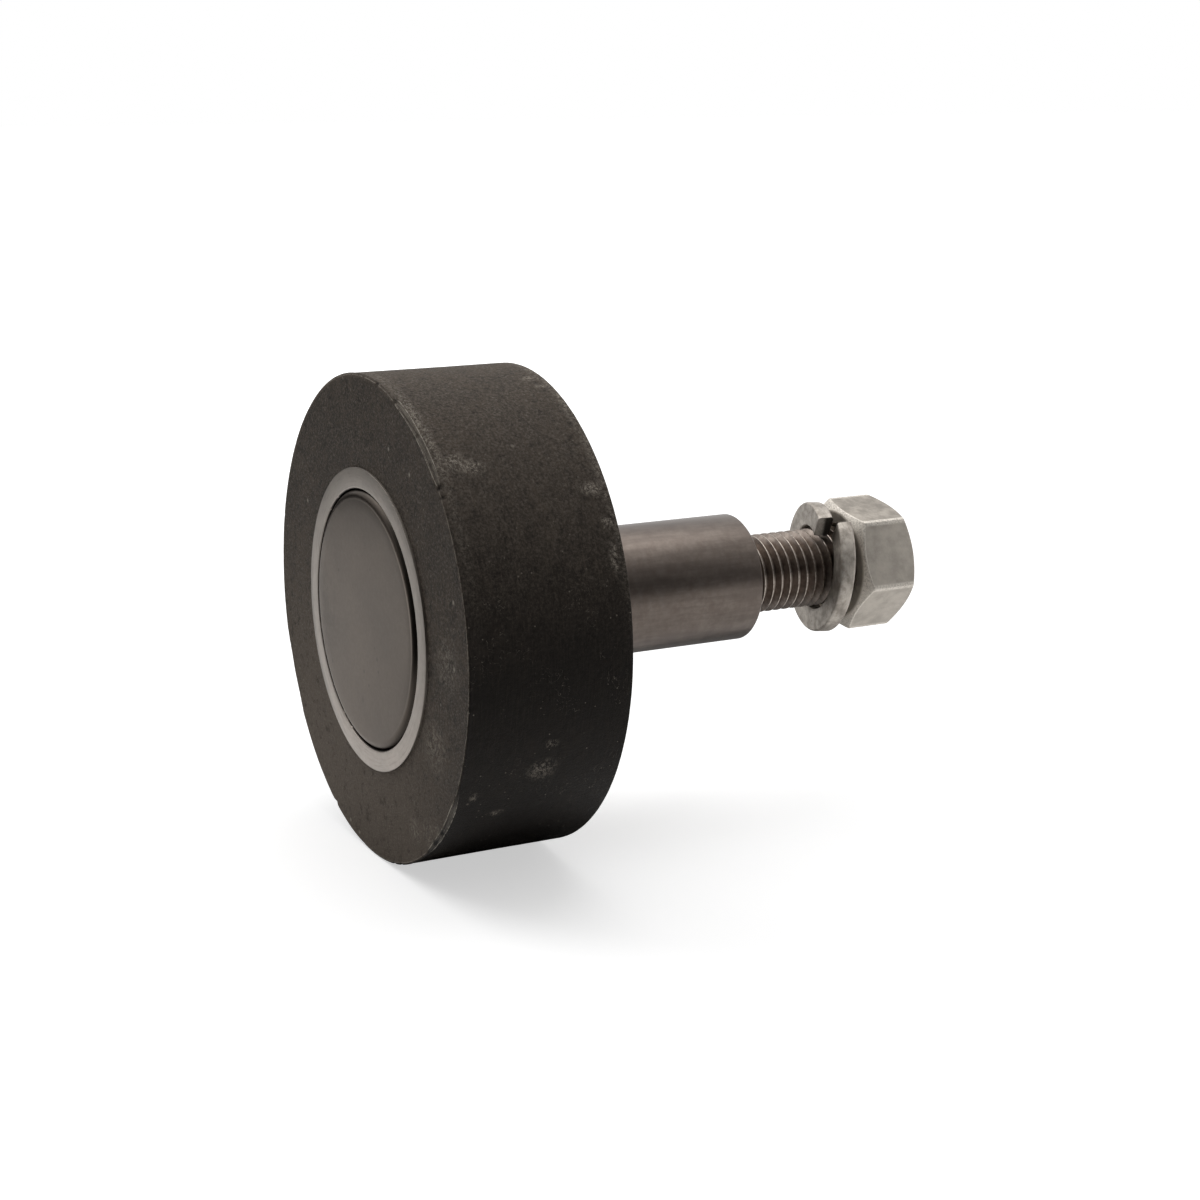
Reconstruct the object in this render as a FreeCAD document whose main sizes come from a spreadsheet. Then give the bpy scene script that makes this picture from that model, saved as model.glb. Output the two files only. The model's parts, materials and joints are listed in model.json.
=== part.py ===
import FreeCAD, Part
import math
import os

import Sketcher

# Rubber support roller on a stub axle.
# The origin is the centre of the collar's mounting shoulder. +Y runs along the axle to the stud's end,
# +Z is up, and the roller lies at negative Y. All sizes are in millimetres, all angles in degrees.

# Driving sizes
SIZES = {
    "front_reach": 100.0,
    "tyre_diameter": 116.0,
    "tyre_width": 40.0,
    "tyre_setback": 0.5,
    "tyre_front_bevel": 1.0,
    "tyre_rear_round": 0.4,
    "hub_wall": 5.0,
    "hub_mouth_chamfer": 0.35,
    "hub_rear_chamfer": 1.0,
    "lip_thickness": 3.0,
    "lip_relief": 1.0,
    "lip_seat_width": 5.0,
    "lip_clearance": 1.0,
    "cap_proud": 0.4,
    "cap_depth": 5.6,
    "cap_sheet": 1.2,
    "cap_round": 1.6,
    "cap_clearance": 0.3,
    "hub_circlip_thickness": 2.0,
    "hub_groove_depth": 1.5,
    "hub_circlip_width": 5.0,
    "hub_circlip_offset": 1.0,
    "axle_circlip_thickness": 1.2,
    "axle_groove_depth": 0.55,
    "axle_circlip_width": 3.2,
    "axle_circlip_offset": 0.6,
    "circlip_groove_play": 0.1,
    "circlip_gap_angle": 22.0,
    "circlip_lug_angle": 18.0,
    "circlip_lug_radius": 2.4,
    "circlip_hole_diameter": 2.0,
    "bearing_bore": 25.0,
    "bearing_diameter": 62.0,
    "bearing_width": 17.0,
    "bearing_chamfer": 1.0,
    "ball_count": 7.0,
    "ball_diameter": 11.5,
    "race_clearance": 0.15,
    "land_offset": 3.45,
    "seal_ledge": 1.4,
    "seal_thickness": 1.1,
    "seal_recess": 0.3,
    "seal_bead": 0.3,
    "seal_lip_clearance": 0.15,
    "cage_width": 4.3,
    "cage_back": 6.8,
    "cage_front": 3.4,
    "pocket_clearance": 0.2,
    "journal_overhang": 2.3,
    "journal_chamfer": 1.0,
    "collar_diameter": 32.0,
    "collar_chamfer": 0.5,
    "stud_diameter": 20.0,
    "stud_length": 48.0,
    "stud_chamfer": 1.5,
    "relief_width": 2.0,
    "relief_depth": 1.5,
    "centre_hole_diameter": 5.0,
    "centre_hole_angle": 60.0,
    "stud_past_nut": 1.3,
    "nut_height": 16.0,
    "nut_wall": 5.0,
    "nut_face_inset": 1.15,
    "nut_chamfer_angle": 30.0,
    "nut_bore_clearance": 0.1,
    "nut_countersink": 1.2,
    "nut_heading": 42.0,
    "washer_play": 1.6,
    "washer_section": 6.0,
    "washer_thickness": 4.0,
    "washer_spring": 4.6,
    "washer_gap_angle": 4.5,
    "washer_heading": 30.5,
    "washer_setback": 4.35,
    "washer_drop": 0.25,
    "washer_tilt": 12.6,
    "washer_tilt_heading": -73.5,
}

# Stations along the axle, and radii, that follow from the driving sizes
STATIONS = {
    "hub_front": "-Sizes.front_reach",
    "tyre_front": "hub_front + Sizes.tyre_setback",
    "tyre_rear": "tyre_front + Sizes.tyre_width",
    "cap_front": "hub_front - Sizes.cap_proud",
    "cap_rear": "cap_front + Sizes.cap_depth",
    "hub_circlip_front": "cap_rear + Sizes.cap_clearance",
    "bearings_front": "hub_circlip_front + Sizes.hub_circlip_thickness",
    "front_bearing": "bearings_front + Sizes.bearing_width / 2",
    "rear_bearing": "front_bearing + Sizes.bearing_width",
    "bearings_rear": "rear_bearing + Sizes.bearing_width / 2",
    "hub_rear": "bearings_rear + Sizes.lip_thickness",
    "axle_circlip_front": "bearings_front - Sizes.axle_circlip_thickness",
    "journal_front": "axle_circlip_front - Sizes.journal_overhang",
    "nut_front": "Sizes.stud_length - Sizes.stud_past_nut - Sizes.nut_height",
    "washer_centre": "nut_front - Sizes.washer_setback",
    "hub_radius": "Sizes.bearing_diameter / 2 + Sizes.hub_wall",
    "pitch_radius": "(Sizes.bearing_bore + Sizes.bearing_diameter) / 4",
    "race_radius": "Sizes.ball_diameter / 2 + Sizes.race_clearance",
    "inner_land_radius": "pitch_radius - Sizes.land_offset",
    "outer_land_radius": "pitch_radius + Sizes.land_offset",
    "seal_radius": "outer_land_radius + Sizes.seal_ledge",
    "hub_groove_radius": "Sizes.bearing_diameter / 2 + Sizes.hub_groove_depth",
    "axle_groove_radius": "Sizes.bearing_bore / 2 - Sizes.axle_groove_depth",
    "nut_flat_radius": "Sizes.stud_diameter / 2 + Sizes.nut_wall",
    "nut_corner_radius": "nut_flat_radius / cos(30)",
    "nut_bore_radius": "Sizes.stud_diameter / 2 + Sizes.nut_bore_clearance",
    "washer_bore_radius": "(Sizes.stud_diameter + Sizes.washer_play) / 2",
    "washer_turns": "1 - Sizes.washer_gap_angle / 360",
}

# The plane through the axle holds the turned outlines, with its first direction along the axle.
AXLE_PLANE = "YZ_Plane"
# The plane across the axle holds the flat outlines. Its normal points to the roller's front.
CROSS_PLANE = "XZ_Plane"

document = FreeCAD.newDocument("support_roller")


def fill_sheet(name, rows):
    """Makes a sheet with one alias to a row."""
    sheet = document.addObject("Spreadsheet::Sheet", name)
    for row, (alias, content) in enumerate(rows.items(), 1):
        sheet.set(f"A{row}", alias)
        sheet.set(f"B{row}", str(content))
        sheet.setAlias(f"B{row}", alias)
    document.recompute()
    return sheet


fill_sheet("Sizes", SIZES)
stations = fill_sheet("Stations", {name: "=" + formula for name, formula in STATIONS.items()})


def value(formula):
    """Gives the present value of a formula over the sheets."""
    return float(stations.evalExpression(formula))


def new_body(label):
    """Starts the body of one turned or pressed piece."""
    body = document.addObject("PartDesign::Body", label)
    body.Label = label
    return body


def new_sketch(body, name, plane, offset=None):
    """Attaches an empty sketch to one of the body's own planes, at an offset along its normal."""
    sketch = body.newObject("Sketcher::SketchObject", name)
    support = [feature for feature in body.Origin.OriginFeatures if feature.Role == plane][0]
    sketch.AttachmentSupport = [(support, "")]
    sketch.MapMode = "FlatFace"
    if offset:
        sketch.setExpression("AttachmentOffset.Base.z", offset)
    return sketch


def hold(sketch, kind, name, formula, *geometry):
    """Adds one dimension that follows a formula."""
    index = sketch.addConstraint(Sketcher.Constraint(kind, *geometry, value(formula)))
    sketch.renameConstraint(index, name)
    sketch.setExpression("Constraints." + name, formula)


def hold_point(sketch, name, geometry, position, across, up):
    """Places a point by its two formulas, where "0" puts it on the sketch's own axis."""
    if up == "0":
        sketch.addConstraint(Sketcher.Constraint("PointOnObject", geometry, position, -1))
    else:
        hold(sketch, "DistanceY", name + "_up", up, -1, 1, geometry, position)
    if across == "0":
        sketch.addConstraint(Sketcher.Constraint("PointOnObject", geometry, position, -2))
    else:
        hold(sketch, "DistanceX", name + "_across", across, -1, 1, geometry, position)


def polygon_sketch(body, name, plane, corners, offset=None):
    """Draws a closed outline through corners that are given as pairs of formulas."""
    sketch = new_sketch(body, name, plane, offset)
    points = [FreeCAD.Vector(value(across), value(up), 0) for across, up in corners]
    count = len(points)
    edges = [Part.LineSegment(points[i], points[(i + 1) % count]) for i in range(count)]
    sketch.addGeometry(edges, False)
    for i in range(count):
        sketch.addConstraint(Sketcher.Constraint("Coincident", i, 2, (i + 1) % count, 1))
    for i, (across, up) in enumerate(corners):
        hold_point(sketch, f"corner_{i}", i, 1, across, up)
    return sketch


def circle_sketch(body, name, plane, circles, offset=None):
    """Draws circles that are given as formulas for their centre and radius."""
    sketch = new_sketch(body, name, plane, offset)
    normal = FreeCAD.Vector(0, 0, 1)
    for i, (across, up, radius) in enumerate(circles):
        centre = FreeCAD.Vector(value(across), value(up), 0)
        sketch.addGeometry(Part.Circle(centre, normal, value(radius)), False)
        hold_point(sketch, f"centre_{i}", i, 3, across, up)
        hold(sketch, "Radius", f"radius_{i}", radius, i)
    return sketch


def turn(body, name, kind, sketch):
    """Turns a sketch in the axle's plane a full turn about the axle."""
    feature = body.newObject("PartDesign::" + kind, name)
    feature.Profile = sketch
    feature.ReferenceAxis = (sketch, ["H_Axis"])
    feature.Angle = 360
    sketch.Visibility = False
    document.recompute()
    return feature


def turn_polygon(body, name, kind, corners):
    """Turns a closed outline of axial and radial formulas about the axle."""
    return turn(body, name, kind, polygon_sketch(body, name + "_outline", AXLE_PLANE, corners))


def raise_flat(body, name, kind, sketch, length):
    """Pads or pockets a sketch of the cross plane towards the stud."""
    feature = body.newObject("PartDesign::" + kind, name)
    feature.Profile = sketch
    feature.Reversed = kind == "Pad"
    if length:
        feature.setExpression("Length", length)
    else:
        feature.Type = "ThroughAll"
        feature.Midplane = True
    document.recompute()
    return feature


def circular_edges(base, radius, station):
    """Finds a feature's circular edges of one radius at one station."""
    names = []
    for index, edge in enumerate(base.Shape.Edges, 1):
        curve = edge.Curve
        if not isinstance(curve, Part.Circle):
            continue
        if abs(curve.Radius - value(radius)) < 1e-6 and abs(curve.Center.y - value(station)) < 1e-6:
            names.append(f"Edge{index}")
    return names


def dress(body, name, kind, size, radius, station):
    """Chamfers or rounds the circular edge of one radius at one station."""
    base = body.Tip
    feature = body.newObject("PartDesign::" + kind, name)
    feature.Base = (base, circular_edges(base, radius, station))
    feature.setExpression("Radius" if kind == "Fillet" else "Size", size)
    document.recompute()
    return feature


def place_along_axle(body, station):
    """Sets a body at its station along the axle."""
    body.setExpression("Placement.Base.y", station)


# Roller
def build_rubber_tyre():
    body = new_body("rubber_tyre")
    corners = [
        ("Stations.tyre_front", "Stations.hub_radius"),
        ("Stations.tyre_front", "Sizes.tyre_diameter / 2"),
        ("Stations.tyre_rear", "Sizes.tyre_diameter / 2"),
        ("Stations.tyre_rear", "Stations.hub_radius"),
    ]
    turn_polygon(body, "rubber_ring", "Revolution", corners)
    dress(body, "front_bevel", "Chamfer", "Sizes.tyre_front_bevel",
          "Sizes.tyre_diameter / 2", "Stations.tyre_front")
    dress(body, "rear_round", "Fillet", "Sizes.tyre_rear_round",
          "Sizes.tyre_diameter / 2", "Stations.tyre_rear")
    return body


def build_hub_sleeve():
    body = new_body("hub_sleeve")
    lip_radius = "Sizes.collar_diameter / 2 + Sizes.lip_clearance"
    seat_radius = "Sizes.bearing_diameter / 2 - Sizes.lip_seat_width"
    relief = "Stations.bearings_rear + Sizes.lip_relief"
    corners = [
        ("Stations.hub_front", "Sizes.bearing_diameter / 2"),
        ("Stations.hub_front", "Stations.hub_radius"),
        ("Stations.hub_rear", "Stations.hub_radius"),
        ("Stations.hub_rear", lip_radius),
        (relief, lip_radius),
        (relief, seat_radius),
        ("Stations.bearings_rear", seat_radius),
        ("Stations.bearings_rear", "Sizes.bearing_diameter / 2"),
    ]
    turn_polygon(body, "sleeve", "Revolution", corners)
    groove = [
        ("Stations.hub_circlip_front", "Sizes.bearing_diameter / 2 - Sizes.hub_groove_depth"),
        ("Stations.hub_circlip_front", "Stations.hub_groove_radius"),
        ("Stations.bearings_front", "Stations.hub_groove_radius"),
        ("Stations.bearings_front", "Sizes.bearing_diameter / 2 - Sizes.hub_groove_depth"),
    ]
    turn_polygon(body, "circlip_groove", "Groove", groove)
    dress(body, "mouth_chamfer", "Chamfer", "Sizes.hub_mouth_chamfer",
          "Sizes.bearing_diameter / 2", "Stations.hub_front")
    dress(body, "rear_chamfer", "Chamfer", "Sizes.hub_rear_chamfer",
          "Stations.hub_radius", "Stations.hub_rear")
    return body


def build_end_cap():
    body = new_body("end_cap")
    rim_radius = "Sizes.bearing_diameter / 2"
    inner_radius = "Sizes.bearing_diameter / 2 - Sizes.cap_sheet"
    inner_face = "Stations.cap_front + Sizes.cap_sheet"
    corners = [
        ("Stations.cap_front", "0"),
        ("Stations.cap_front", rim_radius),
        ("Stations.cap_rear", rim_radius),
        ("Stations.cap_rear", inner_radius),
        (inner_face, inner_radius),
        (inner_face, "0"),
    ]
    turn_polygon(body, "pressed_cup", "Revolution", corners)
    dress(body, "outer_round", "Fillet", "Sizes.cap_round", rim_radius, "Stations.cap_front")
    dress(body, "inner_round", "Fillet", "Sizes.cap_round - Sizes.cap_sheet", inner_radius, inner_face)
    return body


# Circlips
def build_circlip(label, station, thickness, seat_radius, side, width, offset):
    """Makes a circlip. Side is 1 where it grips a shaft and -1 where it springs out into a bore."""
    body = new_body(label)
    rim = f"({seat_radius} + {side} * Sizes.circlip_groove_play)"
    back = f"({rim} + {side} * {width})"
    circles = [
        ("0", "0", rim),
        ("0", f"-{side} * {offset}", back),
    ]
    raise_flat(body, "ring", "Pad", circle_sketch(body, "ring_outline", CROSS_PLANE, circles), thickness)
    # The lugs stand on both sides of the gap, at the ring's narrow side.
    lug_centre = f"({rim} + {side} * ({width} - {offset}))"
    lug_up = f"{lug_centre} * cos(Sizes.circlip_lug_angle)"
    lug_across = f"{lug_centre} * sin(Sizes.circlip_lug_angle)"
    lugs = [(sign + lug_across, lug_up, "Sizes.circlip_lug_radius") for sign in ("", "-")]
    raise_flat(body, "lugs", "Pad", circle_sketch(body, "lug_outline", CROSS_PLANE, lugs), thickness)
    holes = [(sign + lug_across, lug_up, "Sizes.circlip_hole_diameter / 2") for sign in ("", "-")]
    raise_flat(body, "plier_holes", "Pocket", circle_sketch(body, "hole_outline", CROSS_PLANE, holes), None)
    reach = f"2 * ({seat_radius})"
    gap = [
        ("0", "0"),
        (f"-{reach} * tan(Sizes.circlip_gap_angle / 2)", reach),
        (f"{reach} * tan(Sizes.circlip_gap_angle / 2)", reach),
    ]
    raise_flat(body, "gap", "Pocket", polygon_sketch(body, "gap_outline", CROSS_PLANE, gap), None)
    place_along_axle(body, station)
    return body


def build_circlips():
    return [
        build_circlip("hub_circlip", "Stations.hub_circlip_front", "Sizes.hub_circlip_thickness",
                      "Stations.hub_groove_radius", -1,
                      "Sizes.hub_circlip_width", "Sizes.hub_circlip_offset"),
        build_circlip("axle_circlip", "Stations.axle_circlip_front", "Sizes.axle_circlip_thickness",
                      "Stations.axle_groove_radius", 1,
                      "Sizes.axle_circlip_width", "Sizes.axle_circlip_offset"),
    ]


# Bearings, each about its own middle
HALF_WIDTH = "Sizes.bearing_width / 2"


def cut_raceway(body):
    """Cuts the round groove that the balls run in."""
    sketch = circle_sketch(body, "raceway_outline", AXLE_PLANE,
                           [("0", "Stations.pitch_radius", "Stations.race_radius")])
    return turn(body, "raceway", "Groove", sketch)


def build_inner_ring(prefix, station):
    body = new_body(prefix + "_inner_ring")
    corners = [
        (f"-{HALF_WIDTH}", "Sizes.bearing_bore / 2"),
        (f"-{HALF_WIDTH}", "Stations.inner_land_radius"),
        (HALF_WIDTH, "Stations.inner_land_radius"),
        (HALF_WIDTH, "Sizes.bearing_bore / 2"),
    ]
    turn_polygon(body, "ring", "Revolution", corners)
    cut_raceway(body)
    for name, face in (("front_chamfer", f"-{HALF_WIDTH}"), ("rear_chamfer", HALF_WIDTH)):
        dress(body, name, "Chamfer", "Sizes.bearing_chamfer", "Sizes.bearing_bore / 2", face)
    place_along_axle(body, station)
    return body


def build_outer_ring(prefix, station):
    body = new_body(prefix + "_outer_ring")
    bead_radius = "Stations.seal_radius"
    mouth_radius = "Stations.seal_radius - Sizes.seal_bead"
    land_radius = "Stations.outer_land_radius"
    bead = f"({HALF_WIDTH} - Sizes.seal_recess)"
    shelf = f"({HALF_WIDTH} - Sizes.seal_recess - Sizes.seal_thickness)"
    corners = [
        (f"-{HALF_WIDTH}", mouth_radius),
        (f"-{HALF_WIDTH}", "Sizes.bearing_diameter / 2"),
        (HALF_WIDTH, "Sizes.bearing_diameter / 2"),
        (HALF_WIDTH, mouth_radius),
        (bead, mouth_radius),
        (bead, bead_radius),
        (shelf, bead_radius),
        (shelf, land_radius),
        (f"-{shelf}", land_radius),
        (f"-{shelf}", bead_radius),
        (f"-{bead}", bead_radius),
        (f"-{bead}", mouth_radius),
    ]
    turn_polygon(body, "ring", "Revolution", corners)
    cut_raceway(body)
    for name, face in (("front_chamfer", f"-{HALF_WIDTH}"), ("rear_chamfer", HALF_WIDTH)):
        dress(body, name, "Chamfer", "Sizes.bearing_chamfer", "Sizes.bearing_diameter / 2", face)
    place_along_axle(body, station)
    return body


# Shares of a seal's thickness and height that give its web and lip their form
SEAL_WEB_SHARE = 0.7
SEAL_STEP_SHARE = 0.8
SEAL_LIP_SHARE = 0.12


def build_seal(prefix, name, station, side):
    """Makes a seal that is held in the outer ring and reaches down to the inner ring's land."""
    body = new_body(f"{prefix}_{name}_seal")
    outer = "Stations.seal_radius"
    lip = "(Stations.inner_land_radius + Sizes.seal_lip_clearance)"
    outside = f"({HALF_WIDTH} - Sizes.seal_recess)"
    height = f"({outer} - {lip})"
    inside = f"({outside} - Sizes.seal_thickness)"
    web = f"({outside} - {SEAL_WEB_SHARE} * Sizes.seal_thickness)"
    profile = [
        (outside, f"{lip} + {SEAL_LIP_SHARE} * {height}"),
        (outside, outer),
        (inside, outer),
        (inside, f"{lip} + {SEAL_STEP_SHARE} * {height}"),
        (web, f"{lip} + ({SEAL_STEP_SHARE} - {SEAL_LIP_SHARE} / 2) * {height}"),
        (web, f"{lip} + {SEAL_LIP_SHARE} * {height}"),
        (f"({outside} - Sizes.seal_thickness * {SEAL_STEP_SHARE})", lip),
        (f"({outside} - Sizes.seal_thickness / 2)", lip),
    ]
    corners = [(f"{side} * {across}", up) for across, up in profile]
    turn_polygon(body, "seal", "Revolution", corners)
    place_along_axle(body, station)
    return body


def build_cage(prefix, station):
    body = new_body(prefix + "_cage")
    inner = "Stations.pitch_radius - Sizes.cage_width / 2"
    outer = "Stations.pitch_radius + Sizes.cage_width / 2"
    corners = [
        ("-Sizes.cage_front", inner),
        ("-Sizes.cage_front", outer),
        ("Sizes.cage_back", outer),
        ("Sizes.cage_back", inner),
    ]
    turn_polygon(body, "band", "Revolution", corners)
    pocket = body.newObject("PartDesign::SubtractiveSphere", "pocket")
    support = [feature for feature in body.Origin.OriginFeatures if feature.Role == "XY_Plane"][0]
    pocket.AttachmentSupport = [(support, "")]
    pocket.MapMode = "FlatFace"
    pocket.setExpression("AttachmentOffset.Base.z", "Stations.pitch_radius")
    pocket.setExpression("Radius", "Sizes.ball_diameter / 2 + Sizes.pocket_clearance")
    document.recompute()
    pockets = body.newObject("PartDesign::PolarPattern", "pockets")
    pockets.Originals = [pocket]
    axle_axis = [feature for feature in body.Origin.OriginFeatures if feature.Role == "Y_Axis"][0]
    pockets.Axis = (axle_axis, [""])
    pockets.Angle = 360
    pockets.setExpression("Occurrences", "Sizes.ball_count")
    body.Tip = pockets
    place_along_axle(body, station)
    return body


def build_balls(prefix, station):
    """Makes the balls, evenly spaced round the pitch circle."""
    balls = []
    for index in range(round(SIZES["ball_count"])):
        ball = document.addObject("Part::Sphere", f"{prefix}_ball_{index + 1}")
        ball.Label = f"{prefix}_ball_{index + 1}"
        ball.setExpression("Radius", "Sizes.ball_diameter / 2")
        angle = f"(360 * {index} / Sizes.ball_count)"
        ball.setExpression("Placement.Base.x", f"Stations.pitch_radius * sin({angle})")
        ball.setExpression("Placement.Base.y", station)
        ball.setExpression("Placement.Base.z", f"Stations.pitch_radius * cos({angle})")
        balls.append(ball)
    return balls


def build_bearing(prefix):
    station = "Stations." + prefix
    return [
        build_inner_ring(prefix, station),
        build_outer_ring(prefix, station),
        build_seal(prefix, "front", station, -1),
        build_seal(prefix, "rear", station, 1),
        build_cage(prefix, station),
        *build_balls(prefix, station),
    ]


# Axle
def build_stub_axle():
    body = new_body("stub_axle")
    corners = [
        ("Stations.journal_front", "0"),
        ("Stations.journal_front", "Sizes.bearing_bore / 2"),
        ("Stations.bearings_rear", "Sizes.bearing_bore / 2"),
        ("Stations.bearings_rear", "Sizes.collar_diameter / 2"),
        ("0", "Sizes.collar_diameter / 2"),
        ("0", "Sizes.stud_diameter / 2"),
        ("Sizes.stud_length", "Sizes.stud_diameter / 2"),
        ("Sizes.stud_length", "0"),
    ]
    turn_polygon(body, "bar", "Revolution", corners)
    circlip_groove = [
        ("Stations.axle_circlip_front", "Stations.axle_groove_radius"),
        ("Stations.axle_circlip_front", "Sizes.collar_diameter / 2"),
        ("Stations.bearings_front", "Sizes.collar_diameter / 2"),
        ("Stations.bearings_front", "Stations.axle_groove_radius"),
    ]
    turn_polygon(body, "circlip_groove", "Groove", circlip_groove)
    relief = [
        ("0", "Sizes.stud_diameter / 2 - Sizes.relief_depth"),
        ("0", "Sizes.stud_diameter / 2"),
        ("Sizes.relief_width + Sizes.relief_depth", "Sizes.stud_diameter / 2"),
        ("Sizes.relief_width", "Sizes.stud_diameter / 2 - Sizes.relief_depth"),
    ]
    turn_polygon(body, "thread_relief", "Groove", relief)
    dress(body, "journal_chamfer", "Chamfer", "Sizes.journal_chamfer",
          "Sizes.bearing_bore / 2", "Stations.journal_front")
    dress(body, "shoulder_chamfer", "Chamfer", "Sizes.collar_chamfer", "Sizes.collar_diameter / 2", "0")
    dress(body, "stud_chamfer", "Chamfer", "Sizes.stud_chamfer",
          "Sizes.stud_diameter / 2", "Sizes.stud_length")
    hole_depth = "Sizes.centre_hole_diameter / 2 / tan(Sizes.centre_hole_angle / 2)"
    for name, end, way in (("front_centre", "Stations.journal_front", "+"),
                           ("stud_centre", "Sizes.stud_length", "-")):
        hole = [
            (f"{end} {way} {hole_depth}", "0"),
            (end, "0"),
            (end, "Sizes.centre_hole_diameter / 2"),
        ]
        turn_polygon(body, name, "Groove", hole)
    return body


# Fasteners
def build_lock_washer():
    """Makes a coil of just under one turn, left-handed so that its ends bite as the nut backs off."""
    body = new_body("lock_washer")
    low = "-(Sizes.washer_spring + Sizes.washer_thickness) / 2"
    high = "(Sizes.washer_thickness - Sizes.washer_spring) / 2"
    inner = "Stations.washer_bore_radius"
    outer = "Stations.washer_bore_radius + Sizes.washer_section"
    sketch = polygon_sketch(body, "wire_section", AXLE_PLANE,
                            [(low, inner), (low, outer), (high, outer), (high, inner)])
    sketch.setExpression("AttachmentOffset.Rotation.Axis.x", "1")
    sketch.setExpression("AttachmentOffset.Rotation.Axis.z", "0")
    sketch.setExpression("AttachmentOffset.Rotation.Angle", "Sizes.washer_heading")
    document.recompute()
    coil = body.newObject("PartDesign::AdditiveHelix", "coil")
    coil.Profile = sketch
    coil.ReferenceAxis = (sketch, ["H_Axis"])
    coil.Mode = "pitch-turns-angle"
    coil.LeftHanded = True
    coil.setExpression("Pitch", "Sizes.washer_spring / Stations.washer_turns")
    coil.setExpression("Turns", "Stations.washer_turns")
    # The loose washer leans on the stud, with one side tipped towards the nut.
    body.setExpression("Placement.Rotation.Axis.x", "-cos(Sizes.washer_tilt_heading)")
    body.setExpression("Placement.Rotation.Axis.z", "sin(Sizes.washer_tilt_heading)")
    body.setExpression("Placement.Rotation.Angle", "Sizes.washer_tilt")
    body.setExpression("Placement.Base.y", "Stations.washer_centre")
    body.setExpression("Placement.Base.z", "-Sizes.washer_drop")
    return body


def build_hex_nut():
    body = new_body("hex_nut")
    reach = "Stations.nut_corner_radius"
    corners = [(f"{reach} * sin({60 * index})", f"{reach} * cos({60 * index})") for index in range(6)]
    # Two opposite corners lie on the sketch's own axis.
    corners[0] = ("0", reach)
    corners[3] = ("0", "-" + reach)
    hexagon = polygon_sketch(body, "hexagon_outline", CROSS_PLANE, corners)
    raise_flat(body, "hexagon", "Pad", hexagon, "Sizes.nut_height")
    face_radius = "(Stations.nut_flat_radius - Sizes.nut_face_inset)"
    beyond = "(2 * Stations.nut_flat_radius)"
    fall = f"({beyond} - {face_radius}) * tan(Sizes.nut_chamfer_angle)"
    for name, face, way in (("front_corner_chamfer", "0", "+"),
                            ("rear_corner_chamfer", "Sizes.nut_height", "-")):
        corner = [(face, face_radius), (face, beyond), (f"{face} {way} {fall}", beyond)]
        turn_polygon(body, name, "Groove", corner)
    bore = circle_sketch(body, "bore_outline", CROSS_PLANE, [("0", "0", "Stations.nut_bore_radius")])
    raise_flat(body, "bore", "Pocket", bore, None)
    for name, face in (("front_countersink", "0"), ("rear_countersink", "Sizes.nut_height")):
        dress(body, name, "Chamfer", "Sizes.nut_countersink", "Stations.nut_bore_radius", face)
    body.setExpression("Placement.Rotation.Axis.y", "1")
    body.setExpression("Placement.Rotation.Axis.z", "0")
    body.setExpression("Placement.Rotation.Angle", "Sizes.nut_heading")
    place_along_axle(body, "Stations.nut_front")
    return body


def check_features():
    """Stops if any feature failed to build."""
    document.recompute()
    for feature in document.Objects:
        if "Invalid" in feature.State or "Error" in feature.State:
            raise RuntimeError(f"{feature.Label} did not build: {feature.State}")


def write_pieces(pieces):
    """Writes one file for each piece, named after its label."""
    os.makedirs("parts", exist_ok=True)
    for piece in pieces:
        if piece.Shape.isNull() or not piece.Shape.isValid():
            raise RuntimeError(f"{piece.Label} has no valid shape")
    for piece in pieces:
        piece.Shape.exportStep(f"parts/{piece.Label}.step")


pieces = [
    build_rubber_tyre(),
    build_hub_sleeve(),
    build_end_cap(),
    build_stub_axle(),
    build_lock_washer(),
    build_hex_nut(),
    *build_circlips(),
    *build_bearing("front_bearing"),
    *build_bearing("rear_bearing"),
]
check_features()
write_pieces(pieces)
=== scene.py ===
import json
import random
from math import atan2, ceil, cos, degrees, dist, exp, pi, radians, sin, sqrt, tan

import bmesh
import bpy
from mathutils import Matrix, Vector, noise


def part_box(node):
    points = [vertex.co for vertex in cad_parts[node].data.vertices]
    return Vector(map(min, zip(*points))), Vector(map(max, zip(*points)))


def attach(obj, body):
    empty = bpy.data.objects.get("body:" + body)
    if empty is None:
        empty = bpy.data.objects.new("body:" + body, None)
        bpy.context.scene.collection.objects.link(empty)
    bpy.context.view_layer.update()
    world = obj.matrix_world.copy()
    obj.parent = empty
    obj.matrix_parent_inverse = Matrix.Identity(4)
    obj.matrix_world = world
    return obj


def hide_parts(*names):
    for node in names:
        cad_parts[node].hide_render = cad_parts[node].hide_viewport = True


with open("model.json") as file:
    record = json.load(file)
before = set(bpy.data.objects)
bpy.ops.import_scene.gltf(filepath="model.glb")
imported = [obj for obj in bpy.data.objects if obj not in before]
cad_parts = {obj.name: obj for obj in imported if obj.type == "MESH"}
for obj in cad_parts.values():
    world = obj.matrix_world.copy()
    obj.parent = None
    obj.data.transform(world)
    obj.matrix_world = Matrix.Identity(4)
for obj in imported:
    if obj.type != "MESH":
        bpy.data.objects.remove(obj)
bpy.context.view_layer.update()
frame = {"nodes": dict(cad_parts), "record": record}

# The looks of a rubber support roller on its stub axle.
# Lengths are in millimetres here and become metres in make_piece. The axle runs along Y. A place on
# a round piece is given along the axle, by its radius, and by its angle from +Z towards +X.
MM = 0.001
TURN = 2 * pi
# How a mesh is cleaned up, in metres
MERGE_DISTANCE = 2e-6
SHORTEST_EDGE = 1e-6
# Crease angles in degrees, above which an edge stays sharp
CREASE = 35.0
THREAD_CREASE = 28.0
WASHER_CREASE = 40.0
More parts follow.
